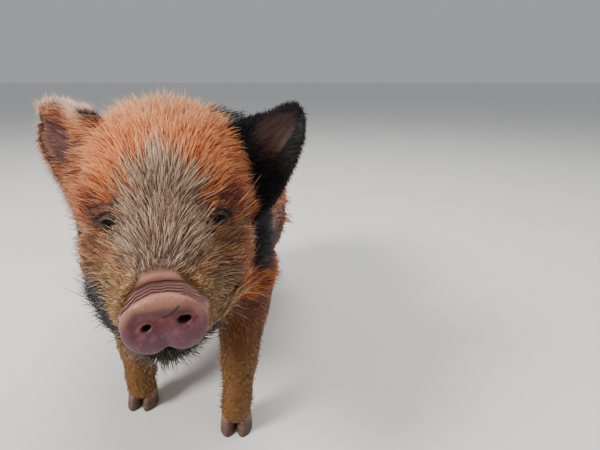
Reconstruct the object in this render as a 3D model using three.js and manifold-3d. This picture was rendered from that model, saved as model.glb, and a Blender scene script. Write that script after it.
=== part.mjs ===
// Kunekune piglet, about seven weeks old: a still, life-size model, in millimetres.
// It looks along -Y, its left side is +X and its hooves stand on Z = 0.
// Flesh is one smooth shape, a blend of rounded muscles. Each piece of it is a capsule blown out to that shape.
import * as THREE from "three";
import { mergeVertices } from "three/addons/utils/BufferGeometryUtils.js";
import Module from "manifold-3d";

const wasm = await Module();
wasm.setup();

const gap = 0.3; // between pieces that touch
const { clamp, degToRad, lerp, smoothstep } = THREE.MathUtils;
const at = (x, y, z) => new THREE.Vector3(x, y, z);
const hump = (x, middle, spread) => Math.exp(-(((x - middle) / spread) ** 2));

// Rounded shapes, each a function from a point to its distance outside the surface
function ball(centre, radii) {
  const c = at(...centre);
  const r = at(...radii);
  const q = at(0, 0, 0);
  return (p) => {
    q.subVectors(p, c).divide(r);
    const near = q.length();
    const steep = q.divide(r).length();
    return (near * (near - 1)) / Math.max(steep, 1e-9);
  };
}

function limb(from, fromRadius, to, toRadius) {
  const a = at(...from);
  const along = at(...to).sub(a);
  const square = along.lengthSq();
  const q = at(0, 0, 0);
  return (p) => {
    const t = clamp(q.subVectors(p, a).dot(along) / square, 0, 1);
    return q.addScaledVector(along, -t).length() - lerp(fromRadius, toRadius, t);
  };
}

function softMin(a, b, softness) {
  const h = Math.max(softness - Math.abs(a - b), 0) / softness;
  return Math.min(a, b) - (h * h * softness) / 4;
}

// Muscles blend one after another, each with its own softness
function blend(muscles) {
  return (p) => muscles.reduce((d, [shape, softness]) => (d === null ? shape(p) : softMin(d, shape(p), softness)), null);
}

const flip = ([x, y, z]) => [-x, y, z];
const ballPair = (centre, radii, softness) => [
  [ball(centre, radii), softness],
  [ball(flip(centre), radii), softness],
];
const limbPair = (from, fromRadius, to, toRadius, softness) => [
  [limb(from, fromRadius, to, toRadius), softness],
  [limb(flip(from), fromRadius, flip(to), toRadius), softness],
];

// Torso and neck
const trunk = blend([
  [limb([0, -40, 140], 61, [0, 45, 139], 67), 30], // ribs
  [limb([0, 45, 139], 67, [0, 110, 135], 60), 40], // loins and rump
  [limb([0, -10, 112], 46, [0, 78, 107], 52), 36], // belly
  [limb([3, -58, 122], 42, [6, -80, 124], 33), 34], // brisket
  ...limbPair([38, -62, 142], 22, [43, -56, 96], 22, 30), // shoulders
  ...limbPair([30, 114, 140], 32, [41, 98, 98], 25, 36), // thighs
  [limb([0, -36, 156], 52, [9, -92, 168], 45), 40], // neck
]);

// Legs: joints from the body down to the fetlock, and the flesh's radius at each
const foreRadii = [27, 20, 12.5, 9.8, 10.4];
const hindRadii = [29, 24, 13, 10, 10.6];
const legs = {
  foreleg_left: { joints: [[44, -54, 98], [47, -66, 78], [47, -92, 47], [46, -103, 24], [45, -106, 16]], radii: foreRadii },
  foreleg_right: { joints: [[-42, -50, 98], [-43, -54, 78], [-36, -70, 47], [-33, -77, 24], [-31, -80, 16]], radii: foreRadii },
  hindleg_left: { joints: [[39, 108, 102], [43, 100, 80], [43, 125, 52], [42, 123, 24], [42, 120, 16]], radii: hindRadii },
  hindleg_right: { joints: [[-39, 96, 102], [-43, 86, 80], [-43, 109, 52], [-42, 106, 24], [-42, 103, 16]], radii: hindRadii },
};

function legShape({ joints, radii }) {
  const bones = joints.slice(1).map((end, i) => [limb(joints[i], radii[i], end, radii[i + 1]), 4]);
  return blend(bones);
}

// Head, in its own frame: X to its left, Y to its nape, Z to its crown, origin between the eyes
const headFrame = new THREE.Matrix4()
  .makeRotationFromEuler(new THREE.Euler(degToRad(5), degToRad(1.5), degToRad(13), "ZXY"))
  .setPosition(20, -147, 169);
const headInverse = headFrame.clone().invert();
const headAxis = (x, y, z) => at(x, y, z).transformDirection(headFrame);
const inHead = (p) => p.clone().applyMatrix4(headInverse);
const fromHead = (x, y, z) => at(x, y, z).applyMatrix4(headFrame);

// Snout disc, a rounded outline that is flatter above and has a notch in its lower edge
const disc = {
  back: at(0.4, -50, -25.7), // middle of its back, where the muzzle ends
  facing: at(0, -Math.cos(degToRad(8)), Math.sin(degToRad(8))),
  roll: degToRad(4.5),
  halfWidth: 18.6,
  upper: { height: 13.3, power: 1.85 },
  lower: { height: 14.9, power: 2.6 },
  notch: { depth: 0.2, spread: 0.3 },
};
const discLevel = at(1, 0, 0).applyAxisAngle(disc.facing, disc.roll);
const discUpright = discLevel.clone().cross(disc.facing).negate();
const beyondMuzzle = (q) => (q.y - disc.back.y) * disc.facing.y + (q.z - disc.back.z) * disc.facing.z;

function discReach(angle) {
  const { height, power } = angle > 0 ? disc.upper : disc.lower;
  const wide = Math.abs(Math.cos(angle) / disc.halfWidth) ** power;
  const high = Math.abs(Math.sin(angle) / height) ** power;
  return (1 - disc.notch.depth * hump(angle, -Math.PI / 2, disc.notch.spread)) / (wide + high) ** (1 / power);
}

const skull = blend([
  [ball([0, 36, 3], [35, 44, 40]), 10],
  [ball([0, 16, 11], [33, 25, 26]), 24], // brow
  [ball([0, 46, 21], [29, 28, 22]), 24], // crown
  [limb([0, 12, -14], 29, [0, -44, -25], 18), 20], // muzzle
  [limb([0, 6, 1], 19, [0, -40, -17], 12), 14], // bridge of the nose
  [limb([0, 24, -36], 25, [0, -42, -41.5], 10.5), 12], // lower jaw
  ...ballPair([17, 24, -30], [20, 32, 30], 22), // jowls
  ...ballPair([24, 5, 9], [13, 11, 8.5], 10), // brow ridges
  ...limbPair([22, 8, -28], 19, [13, -30, -31], 15, 12), // cheeks
]);

const eyeRadius = 8;
const eyes = {
  eye_left: { centre: [23.5, -2, 4], look: [0.5, -0.86, 0.08] },
  eye_right: { centre: [-23.5, -2, 4], look: [-0.5, -0.86, 0.08] },
};
const eyeRims = blend(Object.values(eyes).map(({ centre }) => [ball(centre, [eyeRadius + 1.7, eyeRadius + 1.7, eyeRadius + 1.7]), 1]));

// Height of the mouth's line at a place along the muzzle
const mouthHeight = (y) => -38.5 + 4 * clamp((y + 18) / 30, 0, 1) ** 2 - 0.5 * Math.sin(Math.PI * clamp((-y - 5) / 45, 0, 1));

// Folds that arch over the disc, a ridge above them, and lips on both sides of the mouth's line
function faceFolds(q) {
  const fromDisc = q.clone().sub(disc.back);
  const x = fromDisc.dot(discLevel);
  const z = fromDisc.dot(discUpright);
  const outside = Math.hypot(x, z) - discReach(Math.atan2(z, x));
  const front = clamp((-25 - q.y) / 10, 0, 1) * clamp((z + 2) / 5, 0, 1);
  const folds = 0.7 * Math.cos((outside * 2 * Math.PI) / 2.6) * hump(outside, 2.6, 2.6);
  const ridge = 1.5 * hump(outside, 8, 2.3) * (1 - smoothstep(Math.abs(x), 8, 15));
  const fromLine = q.z - mouthHeight(q.y);
  const lips = clamp(-q.y / 8, 0, 1) * (1.8 * hump(fromLine, 0, 1.5) - 0.9 * hump(Math.abs(fromLine), 3.4, 1.9));
  return front * (folds - ridge) + lips;
}

function headShape(p) {
  const q = inHead(p);
  const cut = Math.max(skull(q), beyondMuzzle(q));
  return softMin(cut, eyeRims(q), 6) + faceFolds(q);
}

const flesh = (p) => softMin(trunk(p), headShape(p), 22);

// Depth of the coat, and of the part of it that is solid under the locks
const coreShare = 0.4;
function coatDepth(p) {
  const q = inHead(p);
  const crown = smoothstep(q.z, 14, 40) * smoothstep(q.y, -8, 25);
  const behindFace = smoothstep(q.y, -32, 22);
  const back = smoothstep(p.z, 100, 190);
  const fromEye = Math.min(...Object.values(eyes).map(({ centre }) => q.distanceTo(at(...centre))));
  const headDepth = (1.2 + 4.8 * behindFace + 5 * crown) * lerp(0.2, 1, smoothstep(fromEye, 10, 22));
  const bodyDepth = 3.6 + 5 * back;
  return lerp(headDepth, bodyDepth, smoothstep(q.y, 55, 90));
}
const coreDepth = (p) => coreShare * coatDepth(p);

// Solids from three.js geometry, and back
function solidOf(geometry, matrix) {
  const bare = geometry.clone().deleteAttribute("normal").deleteAttribute("uv");
  if (matrix) bare.applyMatrix4(matrix);
  const merged = mergeVertices(bare, 1e-3);
  const corners = merged.index.array;
  const faces = [];
  for (let i = 0; i < corners.length; i += 3) {
    const [a, b, c] = [corners[i], corners[i + 1], corners[i + 2]];
    if (a !== b && b !== c && c !== a) faces.push(a, b, c);
  }
  const vertProperties = merged.attributes.position.array;
  const shaped = (turned) => new wasm.Mesh({ numProp: 3, vertProperties, triVerts: new Uint32Array(turned) });
  const solid = new wasm.Manifold(shaped(faces));
  return solid.volume() < 0 ? new wasm.Manifold(shaped(faces.reverse())) : solid;
}

function largestOf(solid) {
  return solid.decompose().reduce((best, piece) => (piece.volume() > best.volume() ? piece : best));
}

function geometryOf(solid) {
  const { vertProperties, triVerts } = solid.getMesh();
  const geometry = new THREE.BufferGeometry();
  geometry.setAttribute("position", new THREE.BufferAttribute(vertProperties, 3));
  geometry.setIndex(new THREE.BufferAttribute(triVerts, 1));
  geometry.computeVertexNormals();
  return geometry;
}

function moved(geometry, place) {
  const position = geometry.attributes.position;
  const p = at(0, 0, 0);
  for (let i = 0; i < position.count; i++) {
    place(p.fromBufferAttribute(position, i));
    position.setXYZ(i, p.x, p.y, p.z);
  }
  return geometry;
}

// How far it is from a point inside, along a way, to where the shape reaches the wanted depth
function reachTo(shape, depth, from, way, limit) {
  const p = from.clone();
  let far = 0;
  for (let i = 0; i < 60; i++) {
    const step = depth(p) - shape(p);
    far = clamp(far + 0.85 * step, 0, limit);
    p.copy(from).addScaledVector(way, far);
    if (Math.abs(step) < 0.01) break;
  }
  return far;
}

// A capsule along a curve, blown out until it meets the shape. Its rings cross the curve, or lie across one way
function blown({ path, rings, sides, cap, across, spread = (t) => t, limit = 120 }, shape, depth) {
  const curve = new THREE.CatmullRomCurve3(path.map((p) => (p.isVector3 ? p : at(...p))));
  const capsule = new THREE.CapsuleGeometry(1, 2, cap, sides, rings);
  return moved(capsule, (p) => {
    const onAxis = clamp(p.y, -1, 1);
    const t = spread((onAxis + 1) / 2);
    const ahead = across ?? curve.getTangentAt(t);
    const side = at(1, 0, 0).addScaledVector(ahead, -ahead.x).normalize();
    const over = side.clone().cross(ahead);
    const way = side.multiplyScalar(p.x).addScaledVector(over, p.z).addScaledVector(ahead, p.y - onAxis).normalize();
    const from = curve.getPointAt(t);
    p.copy(from).addScaledVector(way, reachTo(shape, depth, from, way, limit));
  });
}

// The same draw of random numbers each time, from 0 to 1
function randomFrom(seed) {
  let state = seed;
  return () => {
    state = (state + 0x6d2b79f5) | 0;
    let mixed = Math.imul(state ^ (state >>> 15), 1 | state);
    mixed = (mixed + Math.imul(mixed ^ (mixed >>> 7), 61 | mixed)) ^ mixed;
    return ((mixed ^ (mixed >>> 14)) >>> 0) / 4294967296;
  };
}

function outwardFrom(shape, p) {
  const step = 0.5;
  const slope = (axis) => shape(p.clone().add(axis)) - shape(p.clone().sub(axis));
  return at(slope(at(step, 0, 0)), slope(at(0, step, 0)), slope(at(0, 0, step))).normalize();
}

// Which way the coat lies: away from the snout on the head, then back and a little down
function lieAt(p, out) {
  const q = inHead(p);
  const fromSnout = p.clone().sub(fromHead(0, -34, -24)).normalize();
  const swept = at(0, 1, -0.35).normalize();
  const way = fromSnout.lerp(swept, smoothstep(q.y, 40, 85));
  return way.addScaledVector(out, -way.dot(out)).normalize();
}

// A lock of bristles: flat, tapered, its root sunk in the flesh, bent over along the lie of the coat
function lock(root, { length, width, thickness, rise, sunk, fan }) {
  const steps = 3;
  const centres = [];
  const p = root.clone();
  for (let i = 0; i <= steps; i++) {
    const out = outwardFrom(flesh, p);
    p.addScaledVector(out, -flesh(p));
    const way = lieAt(p, out).applyAxisAngle(out, fan);
    const height = lerp(-sunk, rise * coatDepth(p), Math.sin((i / steps) * Math.PI * 0.5) ** 0.8);
    centres.push({ middle: p.clone().addScaledVector(out, height), out, across: out.clone().cross(way) });
    p.addScaledVector(way, length / steps);
  }
  const fullness = [0.85, 1, 0.72, 0];
  const cone = new THREE.ConeGeometry(1, 1, 3, steps);
  const geometry = moved(cone, (v) => {
    const i = Math.round((v.y + 0.5) * steps);
    const { middle, out, across } = centres[i];
    const full = fullness[i] / Math.max(1 - i / steps, 1e-3);
    const aside = (v.x * full * width) / 2 / 0.866;
    const thick = v.z * full * thickness * 0.6667;
    v.copy(middle).addScaledVector(across, aside).addScaledVector(out, thick);
  });
  return solidOf(geometry);
}

// Roots in staggered rows over a blown shape, evenly spread
function rootsOver({ path, limit, rows, apart, from = 0, to = 1 }, wanted, random) {
  const curve = new THREE.CatmullRomCurve3(path);
  const roots = [];
  const count = Math.round(((to - from) * curve.getLength()) / rows);
  for (let row = 0; row <= count; row++) {
    const t = lerp(from, to, row / count);
    const middle = curve.getPointAt(t);
    const ahead = curve.getTangentAt(t);
    const side = at(1, 0, 0).addScaledVector(ahead, -ahead.x).normalize();
    const over = side.clone().cross(ahead);
    const waist = reachTo(flesh, () => 0, middle, side, limit);
    const around = Math.round((2 * Math.PI * waist) / apart);
    for (let i = 0; i < around; i++) {
      const angle = ((i + 0.5 * (row % 2) + 0.3 * (random() - 0.5)) / around) * 2 * Math.PI;
      const way = side.clone().multiplyScalar(Math.cos(angle)).addScaledVector(over, Math.sin(angle));
      const root = middle.clone().addScaledVector(way, reachTo(flesh, () => 0, middle, way, limit));
      root.y += (random() - 0.5) * 0.3 * rows;
      if (wanted(root)) roots.push(root);
    }
  }
  return roots;
}

const addTo = (depth, more) => (p) => depth(p) + more;

const spine = [at(14, -122, 160), at(8, -86, 156), at(1, -40, 140), at(0, 45, 130), at(0, 124, 134)];
const headLine = [fromHead(0, 62, 0), fromHead(0, 20, -4), fromHead(0, -20, -16), fromHead(0, -42, -25)];

const finerAtMuzzle = (t) => (t < 0.6 ? t / 0.6 * 0.82 : lerp(0.82, 1, (t - 0.6) / 0.4));

function trunkCore(more = 0) {
  const form = { path: spine, rings: 20, sides: 26, cap: 4, limit: 110 };
  return solidOf(blown(form, flesh, addTo(coreDepth, more)));
}

function headCore(more = 0) {
  const form = { path: headLine, rings: 24, sides: 30, cap: 4, limit: 85, spread: finerAtMuzzle };
  return solidOf(blown(form, flesh, addTo(coreDepth, more)));
}

function legCore(name, more = 0) {
  const leg = legs[name];
  const shape = legShape(leg);
  const widerAtRoot = (p) => shape(p) - 2 * hump(trunk(p), 0, 12);
  const depth = (p) => lerp(0.9, coreDepth(p), smoothstep(p.z, 50, 100)) + more;
  const form = { path: leg.joints, rings: 8, sides: 12, cap: 2, across: at(0, 0, -1), limit: 60 };
  return solidOf(blown(form, widerAtRoot, depth));
}

function merged(solids) {
  return solids.length === 1 ? solids[0] : wasm.Manifold.union(solids);
}

// Ears, each a cupped sheet from its root to its tip
const earSize = { halfWidth: 28, thickness: 3, cup: 12 };
const ears = {
  ear_left: { root: [54, -86, 184], out: [0.93, -0.14, 0.33], across: [-0.35, 0.02, 0.94], length: 50, lean: 24, roll: 7, lobe: 0.2 },
  ear_right: { root: [-33, -92, 187], out: [-0.93, 0.26, 0.14], across: [0.13, 0.12, 0.985], length: 47, lean: 31, roll: 12, lobe: 0.14 },
};

function earAxes({ out, across }) {
  const b = at(...across).normalize();
  const a = at(...out).addScaledVector(b, -at(...out).dot(b)).normalize();
  const n = a.clone().cross(b);
  return [a, b, n.y > 0 ? n.negate() : n];
}

// A point of the ear: s from root 0 to tip 1, t across from -1 to 1, side from the middle of its thickness
function earPoint(ear, s, t, side) {
  const [a, b, n] = earAxes(ear);
  const tipward = clamp(s, 0, 1);
  const lobe = 1 + ear.lobe * clamp(-t, 0, 1);
  const half = earSize.halfWidth * lobe * Math.sqrt(Math.max(1 - tipward ** 2.1, 0.001)) * (1 - 0.12 * tipward);
  const middle = ear.lean * tipward ** 1.25;
  const cup = earSize.cup * (1 + 0.7 * clamp(1 - s / 0.45, 0, 1)) * (1 - 0.5 * tipward);
  const rolledEdge = ear.roll * clamp(t - 0.3, 0, 1) ** 2 * (1.2 - tipward);
  const rise = cup * t * t + rolledEdge + 5 * tipward ** 2 - 5;
  return at(...ear.root)
    .addScaledVector(a, s * ear.length)
    .addScaledVector(b, middle + t * half)
    .addScaledVector(n, rise + side);
}

function earSheet(ear, more = 0) {
  const sheet = new THREE.BoxGeometry(1, 1, 1, 8, 8, 1);
  const wide = 1 + more / earSize.halfWidth;
  const geometry = moved(sheet, (p) => {
    const s = lerp(-0.3, 1 + more / ear.length, p.x + 0.5);
    const t = 2 * p.y * wide;
    const round = Math.sqrt(Math.max(1 - (2 * p.y) ** 4, 0)) * Math.sqrt(Math.min((1 - s) * 6 + 0.04, 1));
    const thickness = Math.max(earSize.thickness * (1.5 - 0.6 * clamp(s, 0, 1)) * round, 0.8) + 2 * more;
    p.copy(earPoint(ear, s, t, p.z * thickness));
  });
  return solidOf(geometry);
}

// The cut between two lengths of the body: flat through the flesh, then flared back along the lie of the coat,
// so that the locks in front lie over the coat behind
function inFrontOf({ middle, backward, behind = 0 }) {
  const back = backward.clone().normalize();
  const side = at(1, 0, 0).addScaledVector(back, -back.x).normalize();
  const over = side.clone().cross(back);
  const flare = { out: 10, back: 24 };
  const clearOfSkin = 1.5;
  const profile = [[0, -400], [3, -400], [3, flare.back], [1 + flare.out / 100, flare.back], [1, 0], [0, 0]];
  const lathe = new THREE.LatheGeometry(profile.map(([r, y]) => new THREE.Vector2(r, y)), 24);
  const geometry = moved(lathe, (p) => {
    const r = Math.hypot(p.x, p.z);
    const way = side.clone().multiplyScalar(p.x / (r || 1)).addScaledVector(over, p.z / (r || 1));
    const skin = r > 0.01 ? reachTo(flesh, coreDepth, middle, way, 90) + clearOfSkin - behind : 0;
    const far = Math.min(r, 1) * skin + Math.max(r - 1, 0) * 100;
    const along = p.y + behind;
    p.copy(middle).addScaledVector(way, far).addScaledVector(back, along);
  });
  return solidOf(geometry);
}

const nape = { middle: fromHead(0, 56, -5), backward: headAxis(0, 0.92, -0.39) };
const withers = { middle: at(2, -62, 158), backward: at(0, 0.885, -0.466) };

// Everything under the mouth's line and in front of the throat
function belowMouth(lower) {
  const box = new THREE.BoxGeometry(140, 1, 1, 1, 12, 1);
  const geometry = moved(box, (p) => {
    const y = lerp(-90, 2, p.y + 0.5) + (p.y + 0.5) * lower;
    const top = mouthHeight(y) - gap / 2 + lower;
    const down = (0.5 - p.z) * 70;
    p.set(p.x, y + 0.5 * down * (p.y + 0.5), top - down);
  });
  return solidOf(geometry, headFrame);
}

// Everything ahead of the muzzle's flat end
function aheadOfMuzzle() {
  const length = 60;
  const box = new THREE.BoxGeometry(120, length, 120).rotateX(-Math.asin(disc.facing.z));
  const middle = disc.back.clone().addScaledVector(disc.facing, length / 2);
  return solidOf(box.translate(middle.x, middle.y, middle.z), headFrame);
}

// The disc with a rolled rim and two nostrils
function snoutDisc() {
  const profile = [[0, 0.3], [0.9, 0.3], [0.98, 2], [1.02, 5], [0.98, 7.4], [0.88, 8.5], [0.62, 7.9], [0, 7.4]];
  const lathe = new THREE.LatheGeometry(profile.map(([r, y]) => new THREE.Vector2(r, y)), 24);
  const geometry = moved(lathe, (p) => {
    const r = Math.hypot(p.x, p.z);
    const angle = Math.atan2(p.z, p.x);
    const reach = r * discReach(angle);
    const ahead = p.y;
    p.copy(disc.back).addScaledVector(discLevel, reach * Math.cos(angle));
    p.addScaledVector(discUpright, reach * Math.sin(angle)).addScaledVector(disc.facing, ahead);
  });
  const nostril = { aside: 8.6, below: 0.3, ahead: 9.5, radii: [3, 7, 2.3] };
  const holes = [-1, 1].map((hand) => {
    const hole = new THREE.SphereGeometry(1, 12, 8).scale(...nostril.radii).rotateZ(hand * 0.35).rotateY(hand * 0.3);
    const middle = disc.back.clone().addScaledVector(discLevel, hand * nostril.aside);
    middle.addScaledVector(discUpright, -nostril.below).addScaledVector(disc.facing, nostril.ahead);
    return solidOf(hole.translate(middle.x, middle.y, middle.z), headFrame);
  });
  return solidOf(geometry, headFrame).subtract(merged(holes));
}

// Eyes, their sockets and the almond gap between the lids
function eyeball({ centre }, more = 0) {
  const sphere = new THREE.SphereGeometry(eyeRadius + more, 14, 8).rotateX(Math.PI / 2).translate(...centre);
  return solidOf(sphere, headFrame);
}

function lidGap({ centre, look }) {
  const almond = { halfWidth: 6.4, halfHeight: 3.2, depth: 9 };
  const facing = at(...look).normalize();
  const turn = new THREE.Quaternion().setFromUnitVectors(at(0, -1, 0), facing);
  const cutter = new THREE.SphereGeometry(1, 12, 8).scale(almond.halfWidth, almond.depth, almond.halfHeight);
  const place = at(...centre).addScaledVector(facing, eyeRadius * 0.75);
  return solidOf(cutter.applyQuaternion(turn).translate(place.x, place.y, place.z), headFrame);
}

// One claw of a cloven hoof: flat sole, toe in front, its inner side straight
const claw = { width: 12.4, length: 20, height: 13 };
function clawSolid(foot, hand, more = 0) {
  const column = new THREE.CylinderGeometry(1, 1, 1, 12, 2);
  const geometry = moved(column, (p) => {
    const up = p.y + 0.5;
    const front = clamp(-p.z, 0, 1);
    const inner = p.x * hand < 0;
    const halfWidth = (claw.width / 2) * (1 - 0.14 * up) * (inner ? 0.82 : 1) * (1 - 0.3 * front ** 3) + more;
    const halfLength = (claw.length / 2) * (1 - 0.26 * up) + more;
    const x = foot.x + hand * (claw.width * 0.41 + gap / 2) + p.x * halfWidth;
    const y = foot.y - 2 + 3.4 * up + p.z * halfLength;
    p.set(x, y, up * (claw.height + more));
  });
  return solidOf(geometry);
}

function dewclaw(foot, hand, more = 0) {
  const cone = new THREE.SphereGeometry(1, 6, 5).scale(3 + more, 3.4 + more, 5 + more).rotateX(0.45);
  return solidOf(cone.translate(foot.x + hand * 6.2, foot.y + 11.5, foot.z + 6));
}

// Tail, hanging with a loose bend
const tailJoints = [[0, 150, 158], [1, 168, 156], [3, 181, 142], [8, 186, 122], [9, 183, 104]];
const tailRadii = [9, 7.2, 5.4, 4.2, 3];
const tailShape = legShape({ joints: tailJoints, radii: tailRadii });
function tailCore(more = 0) {
  const form = { path: tailJoints, rings: 9, sides: 8, cap: 2, limit: 20 };
  return solidOf(blown(form, tailShape, () => 1 + more));
}

const pig = new THREE.Group();

function addPiece(name, solid, colour, roughness) {
  const material = new THREE.MeshStandardMaterial({ color: colour, roughness, metalness: 0 });
  const mesh = new THREE.Mesh(geometryOf(largestOf(solid)), material);
  mesh.name = name;
  pig.add(mesh);
}

const colours = {
  ginger: "#a8622f",
  black: "#2b2526",
  tan: "#a87a50",
  pink: "#b5747a",
  hoof: "#6b5348",
  eye: "#1d1310",
};

const trunkSolid = trunkCore();
const trunkGrown = trunkCore(gap);
const headSolid = headCore();
const headGrown = headCore(gap);
const beforeNape = inFrontOf(nape);
const beforeNapeGrown = inFrontOf({ ...nape, behind: gap });
const beforeWithers = inFrontOf(withers);
const beforeWithersGrown = inFrontOf({ ...withers, behind: gap });
const sockets = merged(Object.values(eyes).flatMap((eye) => [eyeball(eye, gap), lidGap(eye)]));

const isBehind = (p, { middle, backward }) => p.clone().sub(middle).dot(backward) > 0;
const earRoots = Object.values(ears).map(({ root, across }) => {
  const reach = at(...across).normalize().multiplyScalar(earSize.halfWidth);
  return limb(at(...root).sub(reach).toArray(), 7, at(...root).add(reach).toArray(), 7);
});
const clearOfEars = (p) => earRoots.every((shape) => shape(p) > 0);

function coatOf(roots, look, random) {
  return roots.map((root) => {
    const vary = (spread) => 1 + spread * (random() - 0.5);
    return lock(root, { ...look, length: look.length * vary(0.4), width: look.width * vary(0.3), fan: 0.5 * (random() - 0.5) });
  });
}

const random = randomFrom(7);
const bodyLock = { length: 42, width: 19, thickness: 1.5, rise: 1, sunk: 3 };
const neckLock = { length: 30, width: 15, thickness: 1.4, rise: 1, sunk: 3 };
const headLock = { length: 24, width: 12, thickness: 1.3, rise: 1, sunk: 3 };
const neckRoots = rootsOver({ path: spine, limit: 110, rows: 13, apart: 19, from: 0.14, to: 0.25 }, (p) => {
  return isBehind(p, nape) && !isBehind(p, withers) && clearOfEars(p);
}, random);
const torsoRoots = rootsOver({ path: spine, limit: 110, rows: 26, apart: 28, from: 0.27, to: 1 }, (p) => {
  return isBehind(p, withers) && p.z > 84;
}, random);
const headRoots = rootsOver({ path: headLine, limit: 85, rows: 13, apart: 16, from: 0, to: 0.66 }, (p) => {
  const q = inHead(p);
  const fromEye = Math.min(...Object.values(eyes).map(({ centre }) => q.distanceTo(at(...centre))));
  return !isBehind(p, nape) && clearOfEars(p) && fromEye > 18 && q.z > -62 && !(q.z < -30 && q.y < 8);
}, random);

// A lock that stands off an edge, from a point along a way, flat across another
function looseLock({ root, way, flat, length, width, thickness }, more = 0) {
  const cone = new THREE.ConeGeometry(1, 1, 3, 2);
  const across = way.clone().cross(flat).normalize();
  const geometry = moved(cone, (v) => {
    const along = v.y + 0.5;
    const bulge = along > 0.4 && along < 0.6 ? 1.4 : 1;
    const aside = v.x * (bulge * width * 0.58 + more);
    const thick = v.z * (bulge * thickness * 0.67 + more) + 0.12 * length * along ** 2;
    v.copy(root).addScaledVector(way, along * (length + more)).addScaledVector(across, aside).addScaledVector(flat, thick);
  });
  return solidOf(geometry);
}

// The fringe round an ear's rim
function earFringe(ear, random) {
  const [a, b, n] = earAxes(ear);
  const places = [[0.3, 1], [0.52, 1], [0.72, 1], [0.88, 0.9], [0.95, 0.1], [0.9, -0.7], [0.72, -1], [0.5, -1]];
  return places.map(([s, t]) => {
    const root = earPoint(ear, s - 0.06, 0.86 * t, 0);
    const rim = earPoint(ear, s + 0.04, t, 0).sub(earPoint(ear, s - 0.04, t, 0)).normalize();
    const way = rim.addScaledVector(b, 0.35 * t).addScaledVector(a, 0.3 * s + 0.2 * random()).normalize();
    return { root, way, flat: n, length: 15 + 4 * random(), width: 9, thickness: 1.6 };
  });
}

const earSolids = {};
const clearances = [];
for (const [name, ear] of Object.entries(ears)) {
  const fringe = earFringe(ear, random);
  const whole = merged([earSheet(ear), ...fringe.map((item) => looseLock(item))]);
  earSolids[name] = whole.subtract(headGrown).subtract(trunkGrown);
  clearances.push(earSheet(ear, gap), ...fringe.map((item) => looseLock(item, 2 * gap)));
}

const tailTuft = [...Array(7).keys()].map((i) => {
  const tip = at(...tailJoints.at(-1));
  const round = at(1, 0, 0).applyAxisAngle(at(0, 0, 1), (i / 7) * 2 * Math.PI);
  const way = at(0, -0.1, -1).addScaledVector(round, 0.12 + 0.2 * random()).normalize();
  const root = tip.clone().addScaledVector(round, 1).add(at(0, 0, 4 + 8 * random()));
  return looseLock({ root, way, flat: round, length: 20 + 8 * random(), width: 5, thickness: 2 });
});
const legClearances = Object.keys(legs).map((name) => legCore(name, gap));
const keepClear = merged([...clearances, ...legClearances, tailCore(gap)]);

const headCoat = merged(coatOf(headRoots, headLock, random)).subtract(keepClear);
const neckCoat = merged(coatOf(neckRoots, neckLock, random)).subtract(keepClear);
const torsoCoat = merged(coatOf(torsoRoots, bodyLock, random)).subtract(keepClear);

const face = headSolid.add(headCoat).intersect(beforeNape).subtract(sockets).subtract(aheadOfMuzzle());
addPiece("head", face.subtract(belowMouth(gap)), colours.ginger, 0.85);
addPiece("jaw", face.intersect(belowMouth(0)), colours.tan, 0.8);
addPiece("neck", trunkSolid.add(neckCoat).intersect(beforeWithers).subtract(beforeNapeGrown), colours.ginger, 0.85);
addPiece("torso", trunkSolid.add(torsoCoat).subtract(beforeWithersGrown), colours.ginger, 0.85);
addPiece("tail", merged([tailCore(), ...tailTuft]).subtract(trunkGrown), colours.ginger, 0.85);
addPiece("snout_disc", snoutDisc(), colours.pink, 0.5);
for (const [name, eye] of Object.entries(eyes)) addPiece(name, eyeball(eye), colours.eye, 0.1);
for (const name in ears) {
  const colour = name === "ear_left" ? colours.black : colours.ginger;
  addPiece(name, earSolids[name], colour, 0.85);
}

for (const name in legs) {
  const [fetlock, last] = legs[name].joints.slice(-2).map((p) => at(...p));
  const hands = [["inner", last.x > 0 ? -1 : 1], ["outer", last.x > 0 ? 1 : -1]];
  const claws = hands.map(([, hand]) => clawSolid(last, hand, gap));
  const leg = legCore(name).subtract(trunkGrown).subtract(merged(claws));
  addPiece(name, leg, colours.tan, 0.8);
  for (const [side, hand] of hands) {
    addPiece(`hoof_${name}_${side}`, clawSolid(last, hand), colours.hoof, 0.55);
    addPiece(`dewclaw_${name}_${side}`, dewclaw(last, hand).subtract(legCore(name, gap)), colours.hoof, 0.55);
  }
}

// The origin is under the middle of the whole, on the floor
const bounds = new THREE.Box3().setFromObject(pig);
const middle = bounds.getCenter(at(0, 0, 0));
pig.position.set(-middle.x, -middle.y, -bounds.min.z);

export default pig;
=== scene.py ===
from math import cos, pi, radians, sin

import bmesh
import bpy
import numpy as np
from mathutils import Matrix, Vector
from mathutils.kdtree import KDTree


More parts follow.
